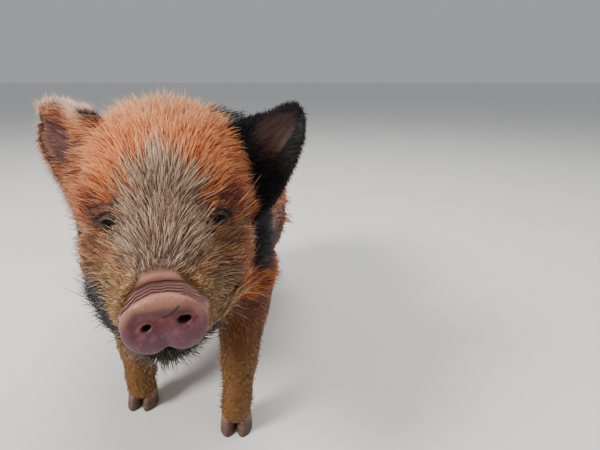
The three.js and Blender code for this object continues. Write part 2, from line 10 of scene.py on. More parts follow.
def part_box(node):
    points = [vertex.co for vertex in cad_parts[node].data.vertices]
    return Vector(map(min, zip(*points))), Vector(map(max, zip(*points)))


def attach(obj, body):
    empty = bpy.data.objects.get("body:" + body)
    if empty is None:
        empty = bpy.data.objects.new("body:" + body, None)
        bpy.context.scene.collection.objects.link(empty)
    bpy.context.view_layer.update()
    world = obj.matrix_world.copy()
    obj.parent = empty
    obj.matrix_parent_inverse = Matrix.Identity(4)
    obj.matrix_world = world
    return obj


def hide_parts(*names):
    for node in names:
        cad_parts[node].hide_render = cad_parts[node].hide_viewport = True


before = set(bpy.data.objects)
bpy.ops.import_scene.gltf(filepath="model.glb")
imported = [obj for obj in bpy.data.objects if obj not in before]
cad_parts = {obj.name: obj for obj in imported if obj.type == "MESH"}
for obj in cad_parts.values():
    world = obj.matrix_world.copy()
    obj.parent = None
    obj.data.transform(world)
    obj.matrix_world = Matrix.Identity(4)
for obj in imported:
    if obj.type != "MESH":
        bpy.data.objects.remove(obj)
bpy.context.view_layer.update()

mm = 0.001  # all sizes below are in millimetres


def vec(*numbers):
    return np.array(numbers, float)


def unit(v):
    v = np.asarray(v, float)
    return v / np.maximum(np.linalg.norm(v, axis=-1, keepdims=True), 1e-9)


def dot(a, b):
    return (a * b).sum(-1)


def clamp(x):
    return np.clip(x, 0, 1)


def hump(x, middle, spread):
    return np.exp(-(((x - middle) / spread) ** 2))


def rampUp(x, low, high):
    t = clamp((x - low) / (high - low))
    return t * t * (3 - 2 * t)


def rampDown(x, high, low):
    return 1 - rampUp(x, high, low)


def mix(a, b, t):
    return a + (b - a) * t


def reached(start, axes, amounts):  # from a start, so far along each axis
    return sum(map(np.outer, amounts, axes), start)


# The head's own frame: X to its left, Y to its nape, Z to its crown
headTurn = {"yaw": 13, "pitch": 5, "roll": 1.5, "place": (20, -147, 169)}
turns = [Matrix.Rotation(radians(headTurn[way]), 3, axis) for way, axis in zip(("yaw", "pitch", "roll"), "ZXY")]
headAxes = np.array(turns[0] @ turns[1] @ turns[2])  # columns are the head's axes
headPlace = vec(*headTurn["place"])


def inHead(p):
    return (p - headPlace) @ headAxes


def fromHead(q):
    return np.asarray(q, float) @ headAxes.T + headPlace


eyeLook = {"radius": 8, "centre": (23.5, -2, 4), "look": (0.5, -0.86, 0.08), "rim": 9.7, "cornea": (0.05, 0.55)}


def ofSide(v, hand):
    return vec(v[0] * hand, v[1], v[2])


# The frame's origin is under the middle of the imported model, so everything shifts with it
shift = np.mean([list(c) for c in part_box("eye_left")], axis=0) / mm - fromHead(eyeLook["centre"])
print("shift in mm", shift.round(2))


def placed(p):
    return (np.asarray(p, float) + shift) * mm


def linked(name, data):
    thing = bpy.data.objects.new(name, data)
    bpy.context.scene.collection.objects.link(thing)
    return thing


photoView = {"place": (91, -373, 240), "pitchDown": 17.9, "lens": 27, "sensor": 36, "nearest": 0.01}
view = bpy.data.cameras.new("photoCamera")
view.lens, view.sensor_width, view.clip_start = photoView["lens"], photoView["sensor"], photoView["nearest"]
camera = linked("photoCamera", view)
camera.location = placed(photoView["place"])
camera.rotation_euler = (radians(90 - photoView["pitchDown"]), 0, 0)
bpy.context.scene.camera = camera


# The flesh is one smooth shape, a blend of rounded muscles
def ball(centre, radii, softness):
    return {"centre": vec(*centre), "radii": vec(*radii), "softness": softness}


def limb(start, startRadius, end, endRadius, softness):
    return {"start": vec(*start), "end": vec(*end), "radii": (startRadius, endRadius), "softness": softness}


def pair(muscle):
    other = dict(muscle)
    for key in ("centre", "start", "end"):
        if key in muscle:
            other[key] = ofSide(muscle[key], -1)
    return [muscle, other]


trunkMuscles = [
    limb((0, -40, 140), 58, (0, 45, 139), 64, 30),  # ribs
    limb((0, 45, 139), 64, (0, 110, 135), 58, 40),  # loins and rump
    limb((0, -10, 112), 46, (0, 78, 107), 52, 36),  # belly
    limb((3, -58, 122), 42, (6, -80, 124), 33, 34),  # brisket
    *pair(limb((38, -62, 142), 22, (43, -56, 96), 22, 30)),  # shoulders
    *pair(limb((30, 114, 140), 32, (41, 98, 98), 25, 36)),  # thighs
    limb((0, -36, 156), 52, (9, -92, 168), 45, 40),  # neck
]
foreRadii, hindRadii = (27, 20, 12.5, 9.8, 10.4), (29, 24, 13, 10, 10.6)
legJoints = {
    "foreleg_left": ((44, -54, 98), (47, -66, 78), (47, -92, 47), (46, -103, 24), (45, -106, 16)),
    "foreleg_right": ((-42, -50, 98), (-43, -54, 78), (-36, -70, 47), (-33, -77, 24), (-31, -80, 16)),
    "hindleg_left": ((39, 108, 102), (43, 100, 80), (43, 125, 52), (42, 123, 24), (42, 120, 16)),
    "hindleg_right": ((-39, 96, 102), (-43, 86, 80), (-43, 109, 52), (-42, 106, 24), (-42, 103, 16)),
}
tailJoints = ((0, 150, 158), (1, 168, 156), (3, 181, 142), (8, 186, 122), (9, 183, 104))
tailRadii = (9, 7.2, 5.4, 4.2, 3)


def chain(joints, radii, softness=4):
    ends = list(zip(joints, radii))
    return [limb(*start, *end, softness) for start, end in zip(ends, ends[1:])]


legMuscles = {name: chain(joints, foreRadii if "fore" in name else hindRadii) for name, joints in legJoints.items()}
tailMuscles = chain(tailJoints, tailRadii)
skullMuscles = [
    ball((0, 36, 3), (35, 44, 40), 10),
    ball((0, 16, 11), (33, 25, 26), 24),  # brow
    ball((0, 46, 21), (29, 28, 22), 24),  # crown
    limb((0, 12, -14), 29, (0, -44, -25), 18, 20),  # muzzle
    limb((0, 6, 1), 19, (0, -40, -17), 12, 14),  # bridge of the nose
    limb((0, 24, -36), 25, (0, -42, -41.5), 10.5, 12),  # lower jaw
    *pair(ball((17, 24, -30), (20, 32, 30), 22)),  # jowls
    *pair(ball((24, 5, 9), (13, 11, 8.5), 10)),  # brow ridges
    *pair(limb((22, 8, -28), 19, (13, -30, -31), 15, 12)),  # cheeks
]
eyeRims = pair(ball(eyeLook["centre"], (eyeLook["rim"],) * 3, 1))


def distance(muscle, p):
    if "centre" in muscle:
        q = p - muscle["centre"]
        near = np.linalg.norm(q / muscle["radii"], axis=1)
        steep = np.linalg.norm(q / muscle["radii"] ** 2, axis=1)
        return near * (near - 1) / np.maximum(steep, 1e-9)
    along = muscle["end"] - muscle["start"]
    t = clamp((p - muscle["start"]) @ along / (along @ along))
    return np.linalg.norm(p - muscle["start"] - t[:, None] * along, axis=1) - mix(*muscle["radii"], t)


def softMin(a, b, softness):
    h = np.maximum(softness - np.abs(a - b), 0) / softness
    return np.minimum(a, b) - h * h * softness / 4


def blend(muscles, p):
    whole = distance(muscles[0], p)
    for muscle in muscles[1:]:
        whole = softMin(whole, distance(muscle, p), muscle["softness"])
    return whole


discShape = {
    "back": vec(0.4, -50, -25.7), "tilt": radians(8), "roll": radians(4.5), "thickness": 8.5, "halfWidth": 18.6,
    "upper": (13.3, 1.85), "lower": (14.9, 2.6),  # height and squareness of each half of its outline
    "notch": (0.2, 0.3),  # depth and spread
}
discFacing = vec(0, -cos(discShape["tilt"]), sin(discShape["tilt"]))
discLevel = vec(1, 0, 0) * cos(discShape["roll"]) + np.cross(discFacing, vec(1, 0, 0)) * sin(discShape["roll"])
discUpright = -np.cross(discLevel, discFacing)


def discReach(angle, notched=1):
    height, power = (np.where(angle > 0, *halves) for halves in zip(discShape["upper"], discShape["lower"]))
    wide = np.abs(np.cos(angle) / discShape["halfWidth"]) ** power
    high = np.abs(np.sin(angle) / height) ** power
    depth, spread = discShape["notch"]
    return (1 - notched * depth * hump(angle, -pi / 2, spread)) / (wide + high) ** (1 / power)


# Across and up in the disc's plane, and how far outside its outline
def roundDisc(q):
    x, z = (q - discShape["back"]) @ discLevel, (q - discShape["back"]) @ discUpright
    return x, z, np.hypot(x, z) - discReach(np.arctan2(z, x))


mouthLook = {"height": -38.5, "corner": 4, "sag": 0.5, "lip": 1.8, "groove": 0.9}


def mouthHeight(y):
    corner = mouthLook["corner"] * clamp((y + 18) / 30) ** 2
    return mouthLook["height"] + corner - mouthLook["sag"] * np.sin(pi * clamp((-y - 5) / 45))


# Lips on both sides of the mouth's line
def lips(q):
    fromLine = q[:, 2] - mouthHeight(q[:, 1])
    rolled = mouthLook["lip"] * hump(fromLine, 0, 1.5) - mouthLook["groove"] * hump(np.abs(fromLine), 3.4, 1.9)
    return clamp(-q[:, 1] / 8) * rolled


joinSoftness = {"eyeRims": 6, "head": 22, "leg": 14, "tail": 8}


def headShape(p):
    q = inHead(p)
    cut = np.maximum(blend(skullMuscles, q), (q - discShape["back"]) @ discFacing)
    return softMin(cut, blend(eyeRims, q), joinSoftness["eyeRims"]) + lips(q)


def wholeBody(p):
    whole = softMin(blend(trunkMuscles, p), headShape(p), joinSoftness["head"])
    for muscles in legMuscles.values():
        whole = softMin(whole, blend(muscles, p), joinSoftness["leg"])
    return softMin(whole, blend(tailMuscles, p), joinSoftness["tail"])


def bodySlope(p, step=0.4):
    here = wholeBody(p)
    return here, np.stack([wholeBody(p + axis * step) - here for axis in np.eye(3)], axis=1) / step


# Uneven noise, made of sine waves in three random directions
def waves(p, size, seed, octaves=3):
    draw = np.random.default_rng(seed)
    total = np.zeros(len(p))
    for octave in range(octaves):
        finer, fainter = 1.9 ** octave, 1.6 ** octave
        for way, phase in zip(unit(draw.normal(size=(3, 3))), draw.random(3) * 2 * pi):
            total += np.sin(p @ way * (2 * pi / size) * finer + phase) / fainter
    return total / 3


def spot(p, centre, radii):
    return 1 - np.linalg.norm((p - vec(*centre)) / vec(*radii), axis=1)


blackSpots = [
    ((38, -8, 208), (42, 78, 46)),  # withers and back
    ((60, -78, 160), (32, 32, 50)),  # left side of the neck
    ((-66, -84, 118), (34, 52, 38)),  # right shoulder and jowl
    ((46, 118, 176), (40, 46, 44)),  # rump
    ((-58, 62, 150), (34, 30, 30)),  # right flank
    ((62, 20, 112), (20, 22, 18)),  # left ribs
]
markLook = {
    "ragged": 0.16, "frayed": 0.05, "edge": (-0.02, 0.12),  # at a marking's edge
    "jowl": ((-42, -25, -43), (29, 42, 25)),  # black spot on the right jowl, in the head's frame
    "wedge": (22, 0.2, 0.014),  # half the pale forehead's width, and how it narrows upwards
    "shadeRoundEyes": 0.3, "underEyes": 0.8, "legs": 0.85,  # strength of the chin's tone round the eyes, which is painted shade, and of the golden one
}


# Where the coat is black, pale, golden or dark as on the chin
def markings(p):
    q = inHead(p)
    x, y, z = np.abs(q[:, 0]), q[:, 1], q[:, 2]
    ragged = markLook["ragged"] * waves(p, 26, 3) + markLook["frayed"] * waves(p, 7, 4)
    black = np.zeros(len(p))
    for centre, radii in blackSpots:
        black = np.maximum(black, rampUp(spot(p, centre, radii) + ragged, *markLook["edge"]))
    black *= rampUp(y, 30, 46)  # these spots stay behind the face
    black = np.maximum(black, rampUp(spot(q, *markLook["jowl"]) + ragged, *markLook["edge"]))
    chin = rampUp(-37 - z, 0, 4) * rampUp(-y, 16, 30)
    # Painted shade: the chin's dark tone round the eyes
    chin = np.maximum(chin, markLook["shadeRoundEyes"] * rampDown(fromEyes(q), 4, 9))
    up = np.clip(z, 0, 60)
    wide, narrower, faster = markLook["wedge"]
    wedge = wide - narrower * up - faster * up ** 2
    pale = rampUp(wedge - x + 28 * ragged, -9, 7) * rampUp(z, -16, -2)
    pale *= rampDown(y, 25, 45)
    muzzle = rampUp(-y - 0.25 * x + 14 * ragged, 2, 22)
    underEye = hump(z, -9, 14) * hump(x, 27, 12) * rampDown(y, 12, 28)
    golden = np.maximum(muzzle, markLook["underEyes"] * underEye) * (1 - 0.8 * pale)
    above, behind = p[:, 2], rampUp(p[:, 1], -60, -30)
    onLegs = np.maximum(rampDown(above, 40, 92), 0.7 * rampDown(above, 70, 118) * behind)
    return {"black": black, "pale": pale, "golden": np.maximum(golden, markLook["legs"] * onLegs), "chin": chin}


def plainMarks(count, **given):
    return {**{name: np.zeros(count) for name in ("black", "pale", "golden", "chin")}, **given}


coatHeights = {"face": 1.2, "cheeks": 4.8, "crown": 5, "legs": 0.5, "flank": 3.2, "back": 5, "byEyes": 0.2}


# How far the coat stands off the skin
def coatDepth(p):
    q = inHead(p)
    x, y, z = q.T
    crown = rampUp(z, 14, 40) * rampUp(y, -8, 25)
    headDepth = coatHeights["face"] + coatHeights["cheeks"] * rampUp(y, -32, 22) + coatHeights["crown"] * crown
    headDepth *= mix(coatHeights["byEyes"], 1, rampUp(fromEyes(q), 6, 19))
    headDepth *= 1 - 0.55 * rampUp(np.abs(x), 26, 36) * rampDown(z, 25, 40)
    trunkDepth = coatHeights["flank"] + coatHeights["back"] * rampUp(p[:, 2], 100, 190)
    bodyDepth = mix(coatHeights["legs"], trunkDepth, rampUp(p[:, 2], 70, 112))
    return mix(headDepth, bodyDepth, rampUp(y, 55, 90))


lieLook = {"snout": (0, -58, -24), "swept": (0, 1, -0.35), "down": (0, 0.25, -1)}


# Which way the coat lies: away from the snout on the head, then back, and down on the legs
def lieAt(p, out):
    q = inHead(p)
    x, y, z = q.T
    onTemple = rampUp(np.abs(x), 10, 30) * rampUp(y, -15, 5) * rampDown(z, 28, 46)
    stretch = np.stack([2.3 + 0.9 * onTemple, 1 + 0 * onTemple, 1 - 0.7 * onTemple], axis=1)
    fromSnout = unit((q - lieLook["snout"]) * stretch) @ headAxes.T
    way = mix(fromSnout, unit(lieLook["swept"]), rampUp(y, 40, 85)[:, None])
    onLegs = rampDown(p[:, 2], 60, 100) * rampUp(y, 20, 40)
    way = mix(way, unit(lieLook["down"]), onLegs[:, None])
    return unit(way - dot(way, out)[:, None] * out)


# Points of meshes and bmeshes
def pointsOf(mesh):
    co = np.empty(len(mesh.vertices) * 3)
    mesh.vertices.foreach_get("co", co)
    return co.reshape(-1, 3)


def setPoints(mesh, points):
    mesh.vertices.foreach_set("co", np.asarray(points, float).ravel())
    mesh.update()


def outwardOf(mesh):
    normals = np.empty(len(mesh.vertices) * 3)
    mesh.vertex_normals.foreach_get("vector", normals)
    return normals.reshape(-1, 3)


def coordsOf(form):
    return np.array([v.co[:] for v in form.verts])


def setCoords(form, points):
    for v, co in zip(form.verts, points):
        v.co = co


def toMesh(name, form):
    mesh = bpy.data.meshes.new(name)
    form.to_mesh(mesh)
    form.free()
    mesh.polygons.foreach_set("use_smooth", [True] * len(mesh.polygons))
    return mesh


def meshOf(name, form):
    bmesh.ops.recalc_face_normals(form, faces=form.faces)
    return toMesh(name, form)


def newPiece(name, mesh, material, nodes=()):
    piece = linked(name, mesh)
    mesh.materials.append(material)
    if nodes:
        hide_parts(*nodes)
    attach(piece, "root")
    return piece


def paint(mesh, **values):
    for name, numbers in values.items():
        layer = mesh.attributes.new(name, "FLOAT", "POINT")
        layer.data.foreach_set("value", np.asarray(numbers, np.float32))


def shaderMaths(operation, turned=False):
    def made(self, other):
        values = (other, self) if turned else (self, other)
        return self.finish.node("ShaderNodeMath", {"operation": operation}, dict(enumerate(values)))
    return made


# A value wraps a socket, and each operator on it adds its Math node
class Value:
    def __init__(self, finish, socket):
        self.finish, self.socket = finish, socket

    __add__ = __radd__ = shaderMaths("ADD")
    __mul__ = __rmul__ = shaderMaths("MULTIPLY")
    __sub__, __rsub__ = shaderMaths("SUBTRACT"), shaderMaths("SUBTRACT", True)


def tone(code):
    channels = [int(code[i:i + 2], 16) / 255 for i in (0, 2, 4)]
    return [c / 12.92 if c <= 0.04045 else ((c + 0.055) / 1.055) ** 2.4 for c in channels] + [1]


class Finish:
    def __init__(self, name, **constants):
        self.material = bpy.data.materials.new(name)
        self.material.use_nodes = True
        self.tree = self.material.node_tree
        self.shader = self.tree.nodes["Principled BSDF"]
        for socket, value in constants.items():
            self.shader.inputs[socket.replace("_", " ")].default_value = value

    def node(self, kind, settings=None, values=None, output=0):
        made = self.tree.nodes.new(kind)
        for key, setting in (settings or {}).items():
            if key == "stops":
                ramp = made.color_ramp
                while len(ramp.elements) < len(setting):
                    ramp.elements.new(0.5)
                for element, (position, colour) in zip(ramp.elements, setting):
                    element.position, element.color = position, colour
            else:
                setattr(made, key, setting)
        for key, value in (values or {}).items():
            if isinstance(value, Value):
                self.tree.links.new(value.socket, made.inputs[key])
            else:
                made.inputs[key].default_value = value
        return Value(self, made.outputs[output])

    def attribute(self, name):
        return self.node("ShaderNodeAttribute", {"attribute_name": name}, output="Fac")

    def place(self):
        return self.node("ShaderNodeTexCoord", output="Object")

    def noise(self, size, detail, stretch=None):
        where = self.place()
        if stretch:
            where = self.node("ShaderNodeMapping", {}, {"Vector": where, "Scale": stretch})
        values = {"Vector": where, "Scale": 1 / (size * mm), "Detail": detail}
        return self.node("ShaderNodeTexNoise", {}, values, "Fac")

    def cells(self, size):
        return self.node("ShaderNodeTexVoronoi", {}, {"Vector": self.place(), "Scale": 1 / (size * mm)}, "Distance")

    def between(self, value, low, high):
        values = {"Value": value, "From Min": low, "From Max": high}
        return self.node("ShaderNodeMapRange", {"interpolation_type": "SMOOTHSTEP"}, values)

    def mixed(self, a, b, amount):
        return self.node("ShaderNodeMix", {"data_type": "RGBA"}, {0: amount, 6: a, 7: b}, 2)

    # Tones laid over a colour one after another, each by an amount or by the attribute of its name
    def over(self, colour, tones, names, **amounts):
        for name in names.split():
            colour = self.mixed(colour, tone(tones[name]), amounts.get(name) or self.attribute(name))
        return colour

    def mottled(self, tones, name, amount):
        return self.mixed(*(tone(code) for code in tones[name]), amount)

    def feed(self, socket, value):
        self.tree.links.new(value.socket, self.shader.inputs[socket])

    def bump(self, height, depth, strength):
        raised = self.node("ShaderNodeBump", {}, {"Height": height, "Distance": depth * mm, "Strength": strength})
        self.feed("Normal", raised)


coatTones = {
    "ginger": ("38130a", "be541a", "ffa55c"),  # root, middle and tip of a hair
    "pale": ("37211b", "86624e", "efd2b2"),
    "golden": ("38240f", "885d32", "dcb480"),
    "black": ("060505", "0f0d0e", "3c393c"),
    "chin": ("17150f", "36322a", "7a705e"),
    "lock": "200c05",  # the darkest tone: dark hairs, and painted shade deep in the coat
}


def hairColour(finish, along, shade):
    def hair(name):
        root, middle, tip = (tone(code) for code in coatTones[name])
        return finish.node("ShaderNodeValToRGB", {"stops": [(0, root), (0.45, middle), (1, tip)]}, {"Fac": along})

    colour = hair("ginger")
    for name in ("pale", "golden", "chin", "black"):
        colour = finish.mixed(colour, hair(name), finish.attribute(name))
    return finish.mixed(colour, tone(coatTones["lock"]), shade)


def makeCoatFinish():
    finish = Finish("coatHair", Roughness=0.45, Sheen_Weight=0.1, Specular_IOR_Level=0.3)
    shade, along = finish.attribute("shade"), finish.attribute("along")
    clamped = {"operation": "ADD", "use_clamp": True}
    paler = finish.node("ShaderNodeMath", clamped, {0: along, 1: shade * 0.5 - 0.25})
    # Hairs with a low shade value take the darkest tone, partly as painted shade
    finish.feed("Base Color", hairColour(finish, paler, 0.55 * finish.between(shade, 0.5, 0.0)))
    return finish.material


skinTones = {
    "bare": ("b07a68", "986556"), "furry": ("5c2812", "3c180c"), "mauve": "a07a72", "pale": "4c352a",
    "golden": "6e4a1a", "chin": "2a2420", "black": "0e0c0d", "lid": "38221c", "innerEar": "4a1710", "crease": "2c1816",
}


def makeSkinFinish():
    finish = Finish("pigSkin", Roughness=0.55, Specular_IOR_Level=0.35)
    mottle, fine, furry = finish.noise(9, 4), finish.noise(0.8, 3), finish.attribute("furry")
    bare = finish.over(finish.mottled(skinTones, "bare", mottle), skinTones, "mauve")
    # The furry skin tones are partly painted shade between the hairs
    under = finish.over(finish.mottled(skinTones, "furry", mottle), skinTones, "pale golden")
    hollow = finish.attribute("innerEar") * (1 - finish.attribute("black"))
    # The crease tone is painted shade in the creases round the eyes and between the snout's folds
    colour = finish.over(finish.mixed(bare, under, furry), skinTones, "chin black lid innerEar crease",
                         innerEar=hollow, crease=finish.attribute("crease") * 0.7)
    finish.feed("Base Color", colour)
    streaks = finish.noise(0.9, 3, stretch=(1, 1, 0.3))
    finish.bump(fine * 0.5 + streaks * 0.7 * furry, 0.5, 0.6)
    return finish.material


discTones = {
    "base": ("6b3432", "54282b"), "lit": "a8705e", "low": "5a3440", "bloom": "80545c", "dots": "4a2a2c",
    "hole": "381a1a", "scratch": "1e100c",
}


def makeDiscFinish():
    finish = Finish("snoutSkin", Roughness=0.48, Specular_IOR_Level=0.4, Subsurface_Weight=0.12,
                    Subsurface_Scale=0.003, Subsurface_Radius=(1.0, 0.4, 0.3), Coat_Weight=0.04, Coat_Roughness=0.35)
    mottle, pores = finish.noise(7, 4), finish.cells(1.5)
    low = finish.attribute("low") * 0.85
    bloom = finish.between(finish.noise(4, 3), 0.5, 0.7) * 0.4
    dots = finish.between(finish.cells(2.3), 0.16, 0.1) * finish.between(finish.noise(8, 1), 0.48, 0.6)
    colour = finish.mottled(discTones, "base", finish.between(mottle, 0.35, 0.65))
    colour = finish.over(colour, discTones, "lit low bloom dots hole scratch", low=low, bloom=bloom, dots=dots * 0.6)
    finish.feed("Base Color", colour)
    finish.bump(pores * 0.7 + finish.noise(0.7, 3) * 0.6, 0.35, 0.7)
    return finish.material


hornTones = {"base": ("5c4438", "8a6a5a"), "rings": "3e2c24", "worn": "9b8470"}


def makeHornFinish():
    finish = Finish("hoofHorn", Specular_IOR_Level=0.4)
    rings, worn = finish.noise(1.3, 3, stretch=(0.15, 0.15, 1.4)), finish.noise(4, 4)
    colour = finish.mottled(hornTones, "base", finish.between(finish.attribute("upward"), 0.35, 1.0))
    colour = finish.over(colour, hornTones, "rings worn", rings=finish.between(rings, 0.45, 0.7) * 0.6,
                         worn=finish.between(worn, 0.58, 0.75) * 0.35)
    finish.feed("Base Color", colour)
    finish.feed("Roughness", 0.42 + worn * 0.3)
    finish.bump(rings + worn * 0.4, 0.4, 0.8)
    return finish.material


eyeTones = {"pupil": "020202", "iris": ("1c0e08", "0c0604"), "white": "2a1c18"}


def makeEyeFinish():
    finish = Finish("wetEye", Roughness=0.14, Specular_IOR_Level=0.5)
    fromPupil, streaks = finish.attribute("fromPupil"), finish.noise(0.8, 3)
    iris = finish.mottled(eyeTones, "iris", streaks)
    colour = finish.mixed(tone(eyeTones["pupil"]), iris, finish.between(fromPupil, 0.22, 0.3))
    finish.feed("Base Color", finish.over(colour, eyeTones, "white", white=finish.between(fromPupil, 0.72, 0.85)))
    return finish.material


coatFinish, skinFinish, discFinish = makeCoatFinish(), makeSkinFinish(), makeDiscFinish()
hornFinish, eyeFinish = makeHornFinish(), makeEyeFinish()


# Skin of the head, trunk, legs and tail
skinLook = {"voxel": 2.6, "ballsPerLimb": 7, "settlings": 4, "flattest": 0.25, "furthest": 2.5, "share": 0.9}


def addBall(form, centre, radii, place):
    for v in bmesh.ops.create_icosphere(form, subdivisions=3, radius=1)["verts"]:
        v.co = place(np.array(v.co) * radii + centre)


def addMuscle(form, muscle, place=lambda p: p):
    if "centre" in muscle:
        addBall(form, muscle["centre"], muscle["radii"], place)
        return
    for t in np.linspace(0, 1, skinLook["ballsPerLimb"]):
        addBall(form, mix(muscle["start"], muscle["end"], t), mix(*muscle["radii"], t), place)


def remeshed(form):
    draft = linked("draft", toMesh("draft", form))
    modifier = draft.modifiers.new("remesh", "REMESH")
    modifier.mode, modifier.voxel_size = "VOXEL", skinLook["voxel"]
    mesh = bpy.data.meshes.new_from_object(draft.evaluated_get(bpy.context.evaluated_depsgraph_get()))
    bpy.data.meshes.remove(draft.data)  # and the draft with it
    return mesh


def refine(mesh, wanted):
    chosen = wanted(inHead(pointsOf(mesh)))
    form = bmesh.new()
    form.from_mesh(mesh)
    form.edges.ensure_lookup_table()
    edges = [e for e in form.edges if chosen[e.verts[0].index] and chosen[e.verts[1].index]]
    bmesh.ops.subdivide_edges(form, edges=edges, cuts=1, use_grid_fill=True)
    form.to_mesh(mesh)
    form.free()


# Moves the mesh's points onto the body's surface
def settle(mesh, times):
    points, furthest = pointsOf(mesh), skinLook["furthest"]
    for _ in range(times):
        here, steep = bodySlope(points)
        move = np.clip(here / np.maximum(dot(steep, steep), skinLook["flattest"]), -furthest, furthest)
        points -= move[:, None] * steep * skinLook["share"]
    setPoints(mesh, points)


def onFace(q):
    x, y, z = q.T
    return (y < 10) & (np.abs(x) < 40) & (z > -50) & (z < 22)


# How far a place is from the middle of the nearer eye's opening
def fromEyes(q):
    middles = []
    for hand in (1, -1):
        aside, _, look = eyeAxes(hand)
        middles.append(ofSide(eyeLook["centre"], hand) + look * eyeLook["rim"] - aside * lidLook["inward"][hand])
    return np.minimum(*[np.linalg.norm(q - middle, axis=1) for middle in middles])


def onFolds(q):
    _, z, outside = roundDisc(q)
    nearDisc = (outside < 13) & (z > -7) & (q[:, 1] < -20)
    return (fromEyes(q) < 13) | nearDisc | ((q[:, 1] < -4) & (np.abs(q[:, 2] + 38) < 7))


def onFinestFolds(q):
    x, z, outside = roundDisc(q)
    return (fromEyes(q) < 9) | ((outside < 9.5) & (z > 1) & (np.abs(x) < 21) & (q[:, 1] < -30))


# Lids: an almond opening sunk below the eyeball, with a rolled margin and folds round it
lidLook = {
    "halfWidth": 5.0, "halfHeight": 1.7, "tilt": 0.14, "inward": {1: 2.6, -1: 5}, "sunk": 5.5, "reach": 19,
    "rolls": ((0.6, 0.9, 0.8), (-0.95, 3.1, 0.8), (0.6, 4.8, 1.1), (-0.6, 6.9, 0.9)),  # height, place and width
}
foldLook = {
    "apart": 1.4, "deep": 0.5, "reach": 3.3,
    "wander": ((0.35, 0.42, 1), (0.25, 0.9, 2), (0.12, 1.9, 0)),  # height, closeness and start of its waves
}
ridgeLook = {"middle": 6.0, "spread": 2.0, "high": 1.4, "crease": 3.7, "halfWidth": (8, 16)}


def eyeAxes(hand):
    look = unit(ofSide(eyeLook["look"], hand))
    aside = unit(np.cross(vec(0, 0, 1), look)) * hand
    return aside, np.cross(look, aside) * hand, look


# How far inside the opening's edge a place is, and how far ahead of the eye's middle
def lidOpening(q, hand):
    aside, up, look = eyeAxes(hand)
    local = q - ofSide(eyeLook["centre"], hand)
    u, v = local @ aside + lidLook["inward"][hand], local @ up
    curve = 1 - (u / lidLook["halfWidth"]) ** 2
    return lidLook["halfHeight"] * np.maximum(curve, -1.5) - np.abs(v - lidLook["tilt"] * u), local @ look


# Wavy folds that arch over the disc, with a smooth ridge above them, and a mask for painted shade in their valleys and
# in the crease under the ridge
def snoutFolds(q):
    x, z, outside = roundDisc(q)
    front = clamp((-25 - q[:, 1]) / 10) * clamp((z + 2) / 5)
    wander = sum(high * np.sin(x * close + start) for high, close, start in foldLook["wander"])
    inFolds = rampUp(outside, -3.5, -2.5) * rampDown(outside, foldLook["reach"], foldLook["reach"] + 1)
    wave = np.abs(np.sin((outside + wander) * pi / foldLook["apart"]))
    middle = rampDown(np.abs(x), *ridgeLook["halfWidth"])
    underRidge = hump(outside + 0.5 * wander, ridgeLook["crease"], 0.5) * middle
    height = foldLook["deep"] * (wave - 0.6) * inFolds
    height += ridgeLook["high"] * hump(outside, ridgeLook["middle"], ridgeLook["spread"]) * middle
    height += 0.1 * waves(q, 2.6, 12, 2) * rampUp(outside, 3, 5) * middle - 0.9 * underRidge
    return front * height, front * np.maximum(rampUp(0.45 - wave, 0, 0.45) * inFolds, underRidge)


def sculptFace(mesh):
    q = inHead(pointsOf(mesh))
    lid, crease = np.zeros(len(q)), np.zeros(len(q))
    for hand in (1, -1):
        opening, ahead = lidOpening(q, hand)
        near = np.linalg.norm(q - ofSide(eyeLook["centre"], hand), axis=1) < lidLook["reach"]
        near = near & (ahead > 1)
        inside = rampUp(opening, -0.35, 0.45) * near
        rolls = sum(high * hump(-opening, at, wide) for high, at, wide in lidLook["rolls"])
        rolls *= near * rampUp(ahead, 2, 5)
        q += (rolls - lidLook["sunk"] * inside)[:, None] * eyeAxes(hand)[2]
        # The lid mask also paints the lids' dark tone: partly their own dark skin, partly painted shade round the eyes
        lid = np.maximum(lid, near * rampDown(-opening, 1.0, 6.0) * rampUp(ahead, 2, 4))
        # Painted shade in the fold above the lid's rolled margin
        crease = np.maximum(crease, near * hump(-opening, 3.1, 0.7) * rampUp(ahead, 2, 4))
    height, foldShade = snoutFolds(q)
    q += height[:, None] * (outwardOf(mesh) @ headAxes)
    setPoints(mesh, fromHead(q))
    return lid, np.maximum(crease, foldShade)


def makeBody():
    form = bmesh.new()
    for muscle in trunkMuscles + tailMuscles + sum(legMuscles.values(), []):
        addMuscle(form, muscle)
    for muscle in skullMuscles:
        addMuscle(form, muscle, fromHead)
    mesh = remeshed(form)
    settle(mesh, 1)
    for wanted in (onFace, onFolds, onFinestFolds):
        refine(mesh, wanted)
    settle(mesh, skinLook["settlings"])
    print("body skin points", len(mesh.vertices))
    return mesh


bodyMesh = makeBody()
lid, crease = sculptFace(bodyMesh)
bodyPoints = pointsOf(bodyMesh)
bodyHead = inHead(bodyPoints)
discX, discZ, outsideDisc = roundDisc(bodyHead)
onSnout = rampUp(-bodyHead[:, 1], 26, 34) * rampUp(discZ, -3, 2)
# How far up from the disc the skin is bare
bareReach = 1.4 + 1.9 * rampDown(np.abs(discX), 12, 17) + 5.0 * rampDown(np.abs(discX), 6, 13)
bare = onSnout * rampUp(bareReach - outsideDisc, -1, 1)
bare = np.maximum(bare, rampUp(0.8 - outsideDisc, 0, 0.8) * rampUp(-bodyHead[:, 1], 38, 44))
mauve = rampUp(4.8 - outsideDisc, 0, 2) * bare
marks = markings(bodyPoints)
paint(bodyMesh, furry=1 - bare, mauve=mauve, lid=lid, crease=crease, innerEar=np.zeros(len(bare)), **marks)


